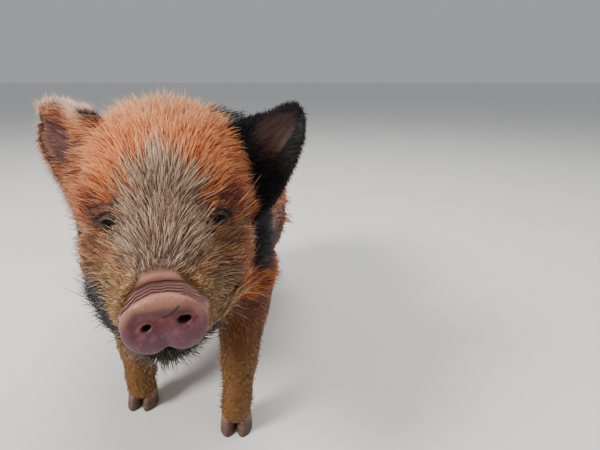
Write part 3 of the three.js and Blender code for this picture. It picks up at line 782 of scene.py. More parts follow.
# Ears: cupped sheets whose roots are sunk in the head
earSize = {
    "halfWidth": 28, "thickness": 2.4, "cup": 12, "rows": 44, "curl": 5, "sunk": 5,
    "rib": 0.7, "ribs": ((-0.3, 0.09), (0.08, 0.08), (0.42, 0.09)),  # height, then place and width of each
}
earPoses = {
    "ear_left": {
        "root": (54, -86, 184), "out": (0.93, -0.14, 0.33), "across": (-0.35, 0.02, 0.94),
        "length": 50, "lean": 22, "roll": 7, "flatter": 0.2, "lobe": 0.1, "dark": True,
        "bareAt": (0.56, 0.28), "bareSize": (0.4, 0.68),  # place and size of the hairless part of its front
    },
    "ear_right": {
        "root": (-33, -92, 191), "out": (-0.93, 0.26, 0.14), "across": (0.13, 0.12, 0.985),
        "length": 46, "lean": 19, "roll": 12, "flatter": 0, "lobe": 0.2, "dark": False,
        "bareAt": (0.68, -0.08), "bareSize": (0.36, 0.8),
    },
}


def earAxes(ear):
    b = unit(ear["across"])
    a = unit(vec(*ear["out"]) - dot(vec(*ear["out"]), b) * b)
    n = np.cross(a, b)
    return a, b, -n if n[1] > 0 else n


# A place on an ear: s runs from the root to the tip, t across it, side is how far it is towards the front
def earPoint(ear, s, t, side):
    tipward = clamp(s)
    lobe = 1 + ear["lobe"] * clamp(-t)
    wide = np.sqrt(np.maximum(1 - tipward ** 1.9, 0.001))
    flatter = 1 - ear["flatter"] * hump(s, 0.7, 0.3) * (t > 0)
    half = earSize["halfWidth"] * lobe * wide * flatter * (1 - 0.12 * tipward)
    middle = ear["lean"] * tipward ** 1.25
    cup = earSize["cup"] * (1 + 0.7 * clamp(1 - s / 0.45)) * (1 - 0.5 * tipward)
    rolledEdge = ear["roll"] * clamp(t - 0.3) ** 2 * (1.2 - tipward)
    rise = (cup * t * t + rolledEdge) * wide + earSize["curl"] * tipward ** 2 - earSize["sunk"] + side
    return reached(vec(*ear["root"]), earAxes(ear), (s * ear["length"], middle + t * half, rise))


def bareOfEar(ear, s, t, side):
    (atS, atT), (long, wide) = ear["bareAt"], ear["bareSize"]
    return rampDown(np.hypot((s - atS) / long, (t - atT) / wide), 0.6, 1.15) * (side > 0)


# The ginger ear is cream at its rim, the other is black with a dark red hollow
def earMarks(ear, bareSkin, rim):
    if ear["dark"]:
        return plainMarks(len(rim), black=1 - 0.16 * bareSkin)
    return plainMarks(len(rim), pale=clamp(0.25 + 0.75 * rim))


sortWay = Vector((1, 0.37, 0.61))


def makeEar(name):
    ear = earPoses[name]
    form = bmesh.new()
    bmesh.ops.create_grid(form, x_segments=earSize["rows"], y_segments=earSize["rows"], size=1)
    extruded = bmesh.ops.extrude_face_region(form, geom=list(form.faces))["geom"]
    front = {v for v in extruded if isinstance(v, bmesh.types.BMVert)}
    side = np.array([1.0 if v in front else -1.0 for v in form.verts])
    flat = coordsOf(form)
    s, t = mix(-0.3, 1, (flat[:, 0] + 1) / 2), flat[:, 1]
    thick = np.sqrt(np.maximum(1 - t ** 4, 0.02)) * (1.5 - 0.6 * clamp(s))
    thick *= np.sqrt(np.clip((1 - s) * 9, 0.03, 1))
    ribs = earSize["rib"] * sum(hump(t, at, wide) for at, wide in earSize["ribs"])
    ribs *= rampUp(s, 0.02, 0.3)
    ribs *= rampDown(s, 0.55, 0.9)
    sway = 0.9 * np.sin(s * 5 + t * 3) * rampUp(s, 0.2, 0.8)
    setCoords(form, earPoint(ear, s, t, side * thick * earSize["thickness"] / 2 + ribs * (side > 0) + sway))
    form.faces.sort(key=lambda face: face.calc_center_median().dot(sortWay))  # the same order in each run
    mesh = meshOf(name, form)
    bareSkin, none = bareOfEar(ear, s, t, side), np.zeros(len(s))
    rim = rampUp(np.maximum(np.abs(t), s), 0.75, 1)
    marks = earMarks(ear, bareSkin, rim)
    paint(mesh, furry=0.65 * (1 - bareSkin), mauve=none, lid=none, crease=none, innerEar=bareSkin, **marks)
    return mesh, {"s": s, "t": t, "side": side, "bareSkin": bareSkin, "rim": rim}


earMeshes = {name: makeEar(name) for name in earPoses}
print("ears made")


def joined(name, meshes):
    form = bmesh.new()
    for mesh in meshes:
        form.from_mesh(mesh)
    whole = toMesh(name, form)
    setPoints(whole, placed(pointsOf(whole)))
    return whole


fleshNodes = ["head", "jaw", "neck", "torso", "tail", *earPoses, *legJoints]
skinMesh = joined("skin", [bodyMesh] + [mesh for mesh, _ in earMeshes.values()])
newPiece("skin", skinMesh, skinFinish, fleshNodes)
print("skin made")


# Snout disc: a flat grid drawn out to its outline, with rings behind it for its side
discLook = {
    "rows": 84, "rings": (1.2, 2.6, 4.4, 7.2), "lobes": 0.9, "rimRoll": 2.6,
    "nostrils": {1: (8.8, 0.6, 2.9, 1.9, 0.1), -1: (-7.6, -0.8, 2.1, 1.4, 0.35)},  # across, up, half sizes, turn
    "nostrilDepth": 5, "nostrilRim": 0.55, "slit": 1.0, "scratch": (3.4, 5.3, 0.568), "scratchDepth": 0.35,
}


def makeDisc():
    form = bmesh.new()
    bmesh.ops.create_grid(form, x_segments=discLook["rows"], y_segments=discLook["rows"], size=1)
    face = set(form.verts)
    ring = [e for e in form.edges if e.is_boundary]
    for back in discLook["rings"]:
        made = bmesh.ops.extrude_edge_only(form, edges=ring)["geom"]
        ring = [g for g in made if isinstance(g, bmesh.types.BMEdge) and g.is_boundary]
        for v in made:
            if isinstance(v, bmesh.types.BMVert):
                v.co.z = -back
    bmesh.ops.edgeloop_fill(form, edges=ring)
    isFace = np.array([v in face for v in form.verts])
    flat = coordsOf(form)
    x, z, depth = *flat[:, :2].T, -flat[:, 2]
    x, z = x * np.sqrt(1 - z ** 2 / 2), z * np.sqrt(1 - x ** 2 / 2)
    reach, angle = np.minimum(np.hypot(x, z), 1), np.arctan2(z, x)
    outline = mix(discReach(angle, 0), discReach(angle), reach ** 3)
    narrows = mix(0.08, 0.2, rampUp(z, -0.2, 0.4)) * rampUp(depth, 1.2, 7.2)
    bulge = 1 + 0.02 * np.sin(clamp(depth / 3) * pi) - narrows
    x, z = (reach * part * outline * bulge for part in (np.cos(angle), np.sin(angle)))
    rolled = 1 - np.sqrt(1 - clamp((reach - 0.72) / 0.28) ** 2 * 0.96)
    ahead = discShape["thickness"] - depth - discLook["rimRoll"] * rolled
    lobes = hump(np.hypot(x - 10, z + 7), 0, 6) + hump(np.hypot(x + 10, z + 7), 0, 6)
    lobes -= 1.3 * hump(z, 2.5, 4.5) * rampUp(0.95 - reach, 0, 0.3)
    ahead += discLook["lobes"] * (lobes + 0.7 * hump(z, 9.5, 2.5))
    ahead -= 1.2 * hump(x, 0, 2.6) * rampUp(-z, 2, 11) + 0.4 * hump(x, 0, 4) * hump(z, -1, 5)  # middle groove
    hole = np.zeros(len(x))
    for hand, (across, up, halfWidth, halfHeight, slant) in discLook["nostrils"].items():
        du, dv = x - across, z - up
        u, v = du * cos(slant) + dv * sin(slant), dv * cos(slant) - du * sin(slant)
        far = np.hypot(u / halfWidth, v / halfHeight)
        # The nostrils' insides get a dark tone: their own dark skin and painted shade
        hole = np.maximum(hole, rampDown(far, 0.6, 1.25) * isFace)
        raised = discLook["nostrilRim"] * hump(far, 1.5, 0.35) * (v > 0)
        ahead += (raised - discLook["nostrilDepth"] * rampDown(far, 0.5, 1.15)) * isFace
        ahead -= discLook["slit"] * hump(u * hand, 4.6, 2.4) * hump(v, -1.2, 1.8) * isFace  # runs outward from it
    middleX, middleZ, rise = discLook["scratch"]
    scratchAlong = (x - middleX) * cos(rise) + (z - middleZ) * sin(rise)
    scratchAside = (z - middleZ) * cos(rise) - (x - middleX) * sin(rise) + 1.1 - 0.05 * scratchAlong ** 2
    scratch = hump(scratchAside, 0, 0.5) * rampDown(np.abs(scratchAlong), 4.0, 5.2) * isFace
    ahead -= discLook["scratchDepth"] * scratch
    points = reached(discShape["back"], (discLevel, discUpright, discFacing), (x, z, ahead))
    setCoords(form, placed(fromHead(points)))
    mesh = meshOf("snoutDisc", form)
    lit = np.maximum(rampUp(z, 5, 10), 0.8 * rampUp(reach, 0.72, 0.95) * rampUp(z, -3, 5)) * 0.9
    paint(mesh, lit=lit, low=rampUp(-z, -4, 9), hole=hole, scratch=scratch)
    return mesh


newPiece("snoutDisc", makeDisc(), discFinish, ["snout_disc"])
print("snout disc made")


def makeEye(hand):
    form = bmesh.new()
    bmesh.ops.create_uvsphere(form, u_segments=48, v_segments=32, radius=1)
    points = coordsOf(form)
    fromPupil = np.arccos(np.clip(points[:, 2], -1, 1))
    high, wide = eyeLook["cornea"]
    radius = eyeLook["radius"] * (1 + high * hump(fromPupil, 0, wide))
    inFace = (points * radius[:, None]) @ np.array(eyeAxes(hand)) + ofSide(eyeLook["centre"], hand)
    setCoords(form, placed(fromHead(inFace)))
    mesh = meshOf("eye", form)
    paint(mesh, fromPupil=fromPupil)
    return mesh


newPiece("eyeLeft", makeEye(1), eyeFinish, ["eye_left"])
newPiece("eyeRight", makeEye(-1), eyeFinish, ["eye_right"])


# Hooves of two claws, each with its two dewclaws
clawLook = {"width": 12.4, "length": 20, "height": 13, "gap": 0.3, "sides": 40, "rings": 12, "ahead": 2, "lean": 3.4}
dewclawLook = {"radii": (3, 3.4, 5), "tilt": 0.45, "aside": 6.2, "back": 11.5, "above": 6}


def addTo(whole, part):
    mesh = toMesh("part", part)
    whole.from_mesh(mesh)
    bpy.data.meshes.remove(mesh)


def addClaw(whole, foot, hand):
    form = bmesh.new()
    bmesh.ops.create_cone(form, cap_ends=True, segments=clawLook["sides"], radius1=1, radius2=1, depth=1)
    uprights = [e for e in form.edges if abs(e.verts[0].co.z - e.verts[1].co.z) > 0.5]
    bmesh.ops.subdivide_edges(form, edges=uprights, cuts=clawLook["rings"])
    middle = foot[0] + hand * (clawLook["width"] * 0.41 + clawLook["gap"] / 2)
    for v in form.verts:
        x, y, up = v.co.x, v.co.y, v.co.z + 0.5
        front, inner = min(max(-y, 0), 1), x * hand < 0
        tuck = 1 - 0.08 * max(1 - up * 12, 0) - 0.12 * max(up * 6 - 5, 0) ** 2
        halfWidth = clawLook["width"] / 2 * (1 - 0.14 * up) * (0.82 if inner else 1) * (1 - 0.3 * front ** 3) * tuck
        along = y * (clawLook["length"] / 2 * (1 - 0.26 * up) * tuck)
        ahead = foot[1] - clawLook["ahead"] + clawLook["lean"] * up
        v.co = placed((middle + x * halfWidth, ahead + along, up * clawLook["height"]))
    addTo(whole, form)


def addDewclaw(whole, foot, hand):
    form = bmesh.new()
    bmesh.ops.create_icosphere(form, subdivisions=3, radius=1)
    tilt = Matrix.Rotation(dewclawLook["tilt"], 3, "X")
    x, y, z = foot[0] + hand * dewclawLook["aside"], foot[1] + dewclawLook["back"], foot[2] + dewclawLook["above"]
    for v in form.verts:
        local = tilt @ Vector([size * radius for size, radius in zip(v.co, dewclawLook["radii"])])
        v.co = placed((x + local.x, y + local.y, z + local.z))
    addTo(whole, form)


for name, joints in legJoints.items():
    foot, form = joints[-1], bmesh.new()
    for hand in (1, -1):
        addClaw(form, foot, hand)
        addDewclaw(form, foot, hand)
    upward = np.array([v.co.z for v in form.verts]) / mm / clawLook["height"]
    mesh = meshOf("hooves", form)
    paint(mesh, upward=clamp(upward))
    nodes = [f"{kind}_{name}_{side}" for kind in ("hoof", "dewclaw") for side in ("inner", "outer")]
    newPiece("hooves_" + name, mesh, hornFinish, nodes)
print("hooves made")


# The coat: thin tapered hairs, joined in one mesh for each region
def sampleRoots(mesh, wanted, seed, **values):
    draw = np.random.default_rng(seed)
    mesh.calc_loop_triangles()
    corners = np.empty(len(mesh.loop_triangles) * 3, np.int32)
    mesh.loop_triangles.foreach_get("vertices", corners)
    corners = corners.reshape(-1, 3)
    points, normals = pointsOf(mesh), outwardOf(mesh)
    a, b, c = (points[corners[:, i]] for i in range(3))
    area = np.linalg.norm(np.cross(b - a, c - a), axis=1) / 2
    expected = area * wanted(corners)
    count = np.floor(expected + draw.random(len(expected))).astype(int)
    picked = np.repeat(np.arange(len(count)), count)
    u, v = np.sqrt(draw.random(len(picked))), draw.random(len(picked))
    weights = np.stack([1 - u, u * (1 - v), u * v], axis=1)
    at = corners[picked]

    def spread(numbers):
        if numbers.ndim == 1:
            return (numbers[at] * weights).sum(1)
        return (numbers[at] * weights[:, :, None]).sum(1)

    spreadOut = {key: spread(np.asarray(numbers, float)) for key, numbers in values.items()}
    return {"root": spread(points), "out": unit(spread(normals)), **spreadOut}


def around(draw, count, spread, least, most):  # sizes that differ a little from 1
    return np.clip(1 + spread * draw.normal(size=count), least, most)


hairShape = {
    "sunk": 0.35, "sides": 3, "patch": 0.003,  # patch: width of a hair's place in the UV map
    "profile": {2: (0.95, 0.8), 3: (0.9, 1.0, 0.75)},  # width at each ring, for two rings and for three
}


# Hairs lean together in small locks, towards a few hairs chosen among them
def gathered(hairs, perLock, pull, seed):
    root, way = hairs["root"], hairs["way"]
    chosen = np.random.default_rng(seed).choice(len(root), max(len(root) // perLock, 1), replace=False)
    tree = KDTree(len(chosen))
    for i, number in enumerate(chosen):
        tree.insert(root[number], i)
    tree.balance()
    leader = chosen[[tree.find(p)[1] for p in root]]
    hairs["pull"] = (root[leader] - root) * pull
    hairs["way"] = unit(mix(way, way[leader], 0.7 * pull))
    hairs["shade"] = mix(hairs["shade"], hairs["shade"][leader], 0.4)


def growHairs(name, hairs, map2d, rings, seed):
    count, sides = len(hairs["root"]), hairShape["sides"]
    out, way = hairs["out"], hairs["way"]
    p = hairs["root"] - out * hairShape["sunk"]
    spine = [p]
    for i in range(rings):
        angle = hairs["lift"] * (1.35 - 0.9 * (i + 0.5) / rings)  # steeper at the root than at the tip
        rising = way * np.cos(angle)[:, None] + out * np.sin(angle)[:, None]
        heading = unit(rising + hairs["bend"] * ((i + 0.5) / rings))
        p = p + heading * (hairs["length"] / rings)[:, None]
        spine.append(p + hairs["pull"] * ((i + 1) / rings) ** 1.4)
    aside = unit(np.cross(out, way))
    over = unit(np.cross(way, aside))
    turned = np.random.default_rng(seed).random(count) * 2 * pi
    rows = []
    for i in range(rings):
        radius = hairs["width"] / 2 * hairShape["profile"][rings][i]
        for k in range(sides):
            angle = turned + 2 * pi * k / sides
            row = spine[i] + aside * (radius * np.cos(angle))[:, None]
            rows.append(row + over * (radius * np.sin(angle))[:, None])
    points = np.stack([*rows, spine[-1]], axis=1).reshape(-1, 3)
    perHair = rings * sides + 1
    quads, tris = [], [[2, 1, 0]]
    for i in range(rings - 1):
        for k in range(sides):
            low, n = i * sides, (k + 1) % sides
            quads.append([low + k, low + n, low + sides + n, low + sides + k])
    last = (rings - 1) * sides
    tris += [[last + k, last + (k + 1) % sides, perHair - 1] for k in range(sides)]
    corner = np.array(sum(quads + tris, []))
    loops = np.arange(count)[:, None] * perHair + corner
    sizes = np.tile([4] * len(quads) + [3] * len(tris), count)
    mesh = bpy.data.meshes.new(name)
    mesh.vertices.add(len(points))
    mesh.loops.add(loops.size)
    mesh.polygons.add(len(sizes))
    mesh.vertices.foreach_set("co", placed(points).ravel())
    mesh.loops.foreach_set("vertex_index", loops.ravel().astype(np.int32))
    mesh.polygons.foreach_set("loop_start", np.concatenate([[0], np.cumsum(sizes)[:-1]]).astype(np.int32))
    mesh.polygons.foreach_set("use_smooth", [True] * len(sizes))
    mesh.update(calc_edges=True)
    along = np.concatenate([np.repeat(np.linspace(0, 1, rings + 1)[:-1], sides), [1.0]])
    marks = {key: np.repeat(hairs[key], perHair) for key in ("black", "pale", "golden", "chin", "shade")}
    paint(mesh, along=np.tile(along, count), **marks)
    across = np.concatenate([np.tile(np.arange(sides) / (sides - 1), rings), [0.5]]) - 0.5
    patch = np.stack([across[corner], along[corner] - 0.5], axis=1)[None] * hairShape["patch"]
    layer = mesh.uv_layers.new(name="OFBake")
    layer.data.foreach_set("uv", (map2d[:, None, :] + patch).ravel())
    print(f"{name}: {count} hairs, {count * (2 * len(quads) + len(tris))} triangles")
    newPiece(name, mesh, coatFinish)


# An unwrap round an axis, with the seam underneath: turned angle across, way along the axis up
def unwrapRound(p, x, up, along):
    angle = np.arctan2(p @ x, p @ up) / (2 * pi) + 0.5
    height = p @ along
    height = (height - height.min()) / max(np.ptp(height), 1e-6)
    return 0.01 + 0.98 * np.stack([angle, height], axis=1)


headX, headY, headZ = headAxes.T


def unwrapOnHead(p):
    return unwrapRound(p - fromHead((0, 0, -12)), headX, headZ, headY)


# How light a hair is, added up from where it grows: painted light on the crown and higher up, painted shade on the
# head's sides, round the eyes and lower down, evened out on the legs
paintedLightLook = {"crown": 0.47, "cheeks": 0.28, "temples": 0.46, "eyes": 0.2, "upper": 0.14, "lower": 0.07, "legs": 0.38}
# How much hairs differ from their neighbours
strayLook = {"bend": (0.2, 0.14), "droop": 0.15, "shade": (0.32, 0.22)}


def dressed(hairs, marks, look, seed):
    draw = np.random.default_rng(seed)
    p, out = hairs["root"], hairs["out"]
    count, aside = len(p), np.cross(out, hairs["way"])
    drift = look["swirl"] * waves(p, 19, 11, 3) + look["wild"] * draw.normal(size=count)
    hairs["way"] = unit(hairs["way"] + aside * drift[:, None])
    inWaves, alone = strayLook["bend"]
    bend = inWaves * waves(p, 6, 12, 2) + alone * draw.normal(size=count)
    hairs["bend"] = aside * bend[:, None] - strayLook["droop"] * (vec(0, 0, 1) - out * out[:, 2:])
    q = inHead(p)
    x, y, z = np.abs(q[:, 0]), q[:, 1], q[:, 2]
    onCrown = rampUp(z, 24, 44) * rampUp(60 - y, 0, 20)
    onSides = rampUp(x, 20, 32) * rampDown(y, 40, 60)
    onLeg = rampDown(p[:, 2], 70, 112)
    # Painted light and shade by place on the head
    light = look["light"] + paintedLightLook["crown"] * onCrown
    light -= mix(paintedLightLook["cheeks"], paintedLightLook["temples"], rampUp(z, -5, 12)) * onSides
    light -= paintedLightLook["eyes"] * rampDown(fromEyes(q), 5, 13)
    light += paintedLightLook["upper"] * rampUp(z, 5, 30)
    light -= paintedLightLook["lower"] * rampDown(z, -15, 0)
    light = mix(light, paintedLightLook["legs"], 0.8 * onLeg)
    alone, inWaves = strayLook["shade"]
    uneven = alone * draw.normal(size=count) + inWaves * waves(p, 5, 13, 2)
    hairs["shade"] = clamp(light + mix(1, 0.4, onLeg) * uneven)
    hairs.update(marks)
    hairs["pale"] = mix(hairs["pale"], draw.random(count) < hairs["pale"], 0.7)
    # Cream crown tips: partly pale hair, partly painted light on the crown's outline
    hairs["pale"] = np.maximum(hairs["pale"], 0.8 * onCrown * rampUp(z, 34, 54) * draw.random(count) ** 1.5)
    hairs["black"] = (draw.random(count) < rampUp(hairs["black"], 0.2, 0.8)).astype(float)
    gathered(hairs, look["perLock"], look["lock"] * look["pull"], seed + 1)


# No hair on the bare muzzle, in the lids' opening or under the soles
keep = rampDown(bare, 0.2, 0.8) * rampDown(lid, 0.72, 0.95)
keep *= rampUp(bodyPoints[:, 2], 13, 17) * (1 - 0.4 * rampUp(-bodyHead[:, 2], 38, 42) * marks["chin"])


def bodyHairs(region, look, seed):
    def wanted(corners):
        density = region["where"](bodyPoints[corners].mean(axis=1)) * region["perSquare"] * look["share"]
        return density * keep[corners].mean(axis=1)

    hairs = sampleRoots(bodyMesh, wanted, seed)
    draw = np.random.default_rng(seed + 50)
    p = hairs["root"]
    q = inHead(p)
    count, x, y, z = len(p), np.abs(q[:, 0]), q[:, 1], q[:, 2]
    hairs["length"] = region["length"](p) * look["length"] * around(draw, count, 0.24, 0.45, 1.7)
    hairs["width"] = region["width"] * look["width"] * around(draw, count, 0.18, 0.6, 1.5)
    onFlank = rampUp(p[:, 1], -60, -30) * rampDown(p[:, 2], 140, 170)
    stands = coatDepth(p) * look["stands"] * np.clip(0.85 + look["uneven"] * draw.normal(size=count), 0.2, 1.8)
    stands *= 1 - 0.5 * onFlank
    stands *= 1 - 0.7 * rampUp(np.abs(p[:, 0]), 36, 48) * rampUp(y, 40, 60)  # flatter on the neck's sides
    underChin = rampUp(-z, 30, 42) * rampUp(-y, -20, 0) * rampDown(x, 12, 22)  # stiff hair
    lift = np.arcsin(np.clip(stands / hairs["length"], look["least"], 0.85))
    hairs["lift"] = np.maximum(lift, 0.7 * underChin)
    hairs["way"] = lieAt(p, hairs["out"])
    dressed(hairs, markings(p), {**look, **region}, seed)
    return hairs


hairLengths = {
    "snout": 3.2, "cheeks": 12.5, "brow": 11, "crown": 17, "chin": 6.5,
    "flank": 14, "back": 21, "shoulders": 6, "legs": 4, "tail": 6, "tailBrush": 13,
}


def faceLength(p):
    q = inHead(p)
    fromSnout = roundDisc(q)[2] + 0.6 * (q[:, 1] + 45)
    front = mix(hairLengths["snout"], hairLengths["cheeks"], rampUp(fromSnout, 4, 24))
    behind = mix(hairLengths["brow"], hairLengths["crown"], rampUp(q[:, 2], 5, 32))
    length = mix(front, behind, rampUp(q[:, 1], 6, 36)) * mix(0.22, 1, rampUp(fromEyes(q), 5, 15))
    return mix(length, hairLengths["chin"], rampUp(-q[:, 2], 36, 42) * rampUp(-q[:, 1], 20, 34))


# Shorter in front of the shoulders, where the photo's outline is close
def bodyLength(p):
    onShoulder = rampUp(np.abs(p[:, 0]), 42, 56) * rampDown(p[:, 1], -66, -30)
    length = mix(hairLengths["flank"], hairLengths["back"], rampUp(p[:, 2], 130, 200))
    length = mix(length, hairLengths["shoulders"], onShoulder)
    length = mix(length, hairLengths["legs"], rampDown(p[:, 2], 62, 112))
    onTail = mix(hairLengths["tail"], hairLengths["tailBrush"], rampDown(p[:, 2], 104, 118))
    return mix(length, onTail, rampUp(p[:, 1], 160, 168))


# A part of the head between two depths, on its left (1), its right (-1) or both (0)
def headBand(low, high, hand=0):
    def where(p):
        q = inHead(p)
        onSide = (hand == 0) | ((q[:, 0] >= 0) == (hand > 0))
        return (q[:, 1] >= low) & (q[:, 1] < high) & onSide & (p[:, 2] > 96)
    return where


# Every region has a dense short undercoat, and longer hairs with paler tips over it; the undercoat's dark tone is
# partly painted shade deep in the coat
layers = {
    "Under": {"share": 0.7, "length": 0.6, "width": 1.2, "pull": 1.0, "stands": 0.5, "least": 0.1, "uneven": 0.25,
              "light": 0.12, "rings": 2},
    "Over": {"share": 0.3, "length": 1.4, "width": 1.15, "pull": 0.35, "stands": 0.75, "least": 0.14, "uneven": 0.35,
             "light": 0.62, "rings": 3},
}
fine = {"swirl": 0.24, "wild": 0.12, "perLock": 4, "lock": 0.2}
fluffy = {"swirl": 0.3, "wild": 0.18, "perLock": 5, "lock": 0.3}
coarse = {"swirl": 0.4, "wild": 0.12, "perLock": 9, "lock": 0.6}
onFaceCoat = {"perSquare": 2.2, "width": 0.32, "length": faceLength, **fine}
onCheekCoat = {"perSquare": 1.55, "width": 0.36, "length": faceLength, **fluffy}
onBodyCoat = {"width": 0.8, "length": bodyLength, **coarse}
regions = {
    "coatMuzzle": {**onFaceCoat, "where": headBand(-99, -6), "perSquare": 2.4, "width": 0.3},
    "coatFaceLeft": {**onFaceCoat, "where": headBand(-6, 22, 1)},
    "coatFaceRight": {**onFaceCoat, "where": headBand(-6, 22, -1)},
    "coatCheekLeft": {**onCheekCoat, "where": headBand(22, 62, 1)},
    "coatCheekRight": {**onCheekCoat, "where": headBand(22, 62, -1)},
    "coatNeck": {
        **onBodyCoat, "where": lambda p: (inHead(p)[:, 1] >= 62) & (p[:, 1] < -40) & (p[:, 2] > 96),
        "perSquare": 0.5, "width": 0.6,
    },
    "coatBack": {**onBodyCoat, "where": lambda p: (p[:, 1] >= -40) & (p[:, 2] >= 140), "perSquare": 0.3},
    "coatFlank": {
        **onBodyCoat, "where": lambda p: (p[:, 1] >= -40) & (p[:, 2] < 140) & (p[:, 2] > 84), "perSquare": 0.25,
    },
    "coatLegs": {
        "where": lambda p: (p[:, 2] <= 96) & ((p[:, 1] < -40) | (p[:, 2] <= 84)),
        "perSquare": 0.26, "width": 0.42, "length": bodyLength, **fine,
    },
}
for number, (name, region) in enumerate(regions.items()):
    for layer, look in layers.items():
        hairs = bodyHairs(region, look, 20 + 2 * number + (layer == "Over"))
        if region["length"] is faceLength:
            map2d = unwrapOnHead(hairs["root"])
        elif name == "coatLegs":
            map2d = unwrapRound(hairs["root"] - vec(0, 10, 0), *np.eye(3))
        else:
            map2d = unwrapRound(hairs["root"] - vec(0, 0, 125), *np.eye(3)[[0, 2, 1]])
        growHairs(name + layer, hairs, map2d, look["rings"], 40 + number)


earCoatLook = {"perSquare": 1.3, "fringe": 1.2, "root": 14, "blade": 8.5, "rim": 6.5, "width": 0.3, "lift": 0.2}


# Hair on the ears: short over the back and most of the front, with a fringe round the rim
def earCoat(name, label, seed):
    mesh, place = earMeshes[name]
    ear = earPoses[name]
    density = earCoatLook["perSquare"] * (1 - 0.95 * place["bareSkin"]) + earCoatLook["fringe"] * place["rim"]
    density *= rampUp(place["s"], -0.28, -0.18)
    hairs = sampleRoots(mesh, lambda corners: density[corners].mean(axis=1), seed, **place)
    draw = np.random.default_rng(seed + 1)
    a, b, _ = earAxes(ear)
    out, rim, s, t = hairs["out"], hairs["rim"], hairs["s"], hairs["t"]
    count = len(out)
    way = a * (1 - 0.5 * rim[:, None]) + np.outer(t * (0.4 + 1.0 * rim) + 0.2 * s, b)
    hairs["way"] = unit(way - dot(way, out)[:, None] * out * (1 - 0.6 * rim[:, None]))
    length = mix(mix(earCoatLook["root"], earCoatLook["blade"], rampUp(s, 0.1, 0.5)), earCoatLook["rim"], rim)
    length *= mix(0.6, 0.45, rim) if ear["dark"] else 1
    hairs["length"] = length * around(draw, count, 0.25, 0.4, 1.7)
    hairs["width"] = earCoatLook["width"] * around(draw, count, 0.2, 0.6, 1.5)
    hairs["lift"] = np.clip(earCoatLook["lift"] + 0.12 * draw.normal(size=count), 0.05, 0.7)
    dressed(hairs, earMarks(ear, hairs["bareSkin"], rim), {**fine, "pull": 0.7, "light": 0.45}, seed)
    across = (t + 1) / 4 + 0.5 * (hairs["side"] > 0)
    map2d = 0.01 + 0.98 * np.stack([across, clamp((s + 0.3) / 1.3)], axis=1)
    growHairs(label, hairs, map2d, 2, seed + 2)


earCoat("ear_left", "coatEarLeft", 70)
earCoat("ear_right", "coatEarRight", 80)
singleLook = {"swirl": 0, "wild": 0.2, "perLock": 2, "lock": 0.2, "pull": 1, "light": 0.5, "lift": 0.45}


# Single hairs that stand out from the coat
def growSingles(name, hairs, marks, seed):
    hairs["lift"] = np.full(len(hairs["root"]), singleLook["lift"])
    dressed(hairs, marks, singleLook, seed)
    growHairs(name, hairs, unwrapOnHead(hairs["root"]), 3, seed + 3)


lashLook = {"number": 40, "length": 6, "width": 0.26, "black": 0.85}


def makeLashes(seed):
    draw = np.random.default_rng(seed)
    root, out, way = [], [], []
    for hand in (1, -1):
        aside, up, look = eyeAxes(hand)
        u = draw.uniform(-0.9, 0.95, lashLook["number"]) * lidLook["halfWidth"]
        edge = lidLook["halfHeight"] * (1 - (u / lidLook["halfWidth"]) ** 2) + lidLook["tilt"] * u
        v = edge + draw.uniform(0.2, 1.4, len(u))
        ahead = np.sqrt(eyeLook["rim"] ** 2 - u ** 2 - v ** 2) - 0.6
        root.append(reached(ofSide(eyeLook["centre"], hand), (aside, up, look), (u, v, ahead)))
        out.append(np.tile(look, (len(u), 1)))
        way.append(unit(reached(0, (aside, up), (0.5 + 0.08 * u, -0.35 + 0.25 * draw.normal(size=len(u))))))
    hairs = {
        "root": fromHead(np.concatenate(root)),
        "out": np.concatenate(out) @ headAxes.T, "way": np.concatenate(way) @ headAxes.T,
    }
    count = len(hairs["root"])
    hairs["length"] = lashLook["length"] * around(draw, count, 0.25, 0.5, 1.6)
    hairs["width"] = np.full(count, lashLook["width"])
    black = (draw.random(count) < lashLook["black"]).astype(float)
    growSingles("coatLashes", hairs, plainMarks(count, black=black, pale=1 - black), 91)


whiskerLook = {"share": 0.01, "length": 17, "width": 0.2}


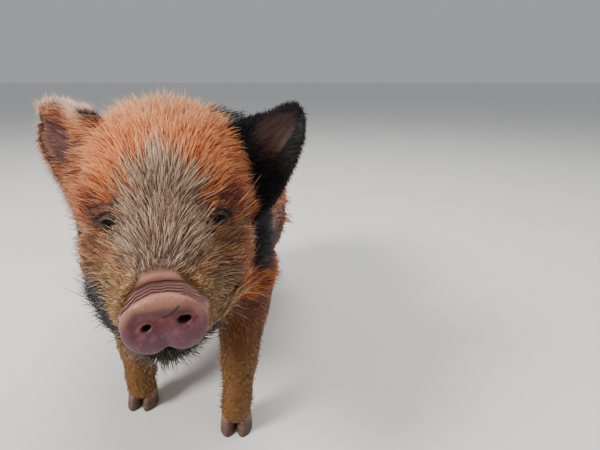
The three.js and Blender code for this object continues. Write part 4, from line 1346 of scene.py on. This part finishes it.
def makeWhiskers(seed):
    def wanted(corners):
        y, z = inHead(bodyPoints[corners].mean(axis=1)).T[1:]
        return ((y > -40) & (y < 18) & (z < -14) & (z > -60)) * whiskerLook["share"]

    hairs = sampleRoots(bodyMesh, wanted, seed)
    count = len(hairs["root"])
    hairs["way"] = lieAt(hairs["root"], hairs["out"])
    hairs["length"] = whiskerLook["length"] * around(np.random.default_rng(seed), count, 0.35, 0.4, 1.7)
    hairs["width"] = np.full(count, whiskerLook["width"])
    growSingles("coatWhiskers", hairs, plainMarks(count, pale=np.ones(count)), 96)


makeLashes(90)
makeWhiskers(95)
print("coat made")


# Floor and light, in metres and watts
floorLook = {"size": 40, "tones": {"base": ("e6e3de", "ece9e5")}, "roughness": 0.7}
lamps = {
    "keyLight": {"place": (-1.15, -0.75, 1.25), "size": 0.6, "power": 36, "colour": (1, 0.98, 0.95)},
    "topLight": {"place": (0.2, 0.3, 1.6), "size": 1.2, "power": 20, "colour": (1, 1, 1)},
    "fillLight": {"place": (1.4, -0.8, 0.7), "size": 1.2, "power": 2.5, "colour": (0.95, 0.97, 1)},
}
skyLook = {"colour": (0.9, 0.94, 1, 1), "strength": 0.4}
lampTarget = Vector((0, -0.08, 0.12))


def makeFloor():
    form = bmesh.new()
    bmesh.ops.create_grid(form, x_segments=2, y_segments=2, size=floorLook["size"])
    mesh = meshOf("floor", form)
    finish = Finish("paleFloor", Roughness=floorLook["roughness"])
    finish.feed("Base Color", finish.mottled(floorLook["tones"], "base", finish.noise(60, 3)))
    mesh.materials.append(finish.material)
    linked("floor", mesh)


def makeLight(name, lamp):
    light = bpy.data.lights.new(name, "AREA")
    light.shape, light.size, light.energy, light.color = "DISK", lamp["size"], lamp["power"], lamp["colour"]
    stand = linked(name, light)
    stand.location = lamp["place"]
    stand.rotation_euler = (lampTarget - stand.location).to_track_quat("-Z", "Y").to_euler()


makeFloor()
for name, lamp in lamps.items():
    makeLight(name, lamp)
world = bpy.data.worlds.new("studio")
world.use_nodes = True
sky = world.node_tree.nodes["Background"]
sky.inputs["Color"].default_value, sky.inputs["Strength"].default_value = skyLook["colour"], skyLook["strength"]
bpy.context.scene.world = world

bpy.context.view_layer.update()
print("all made")
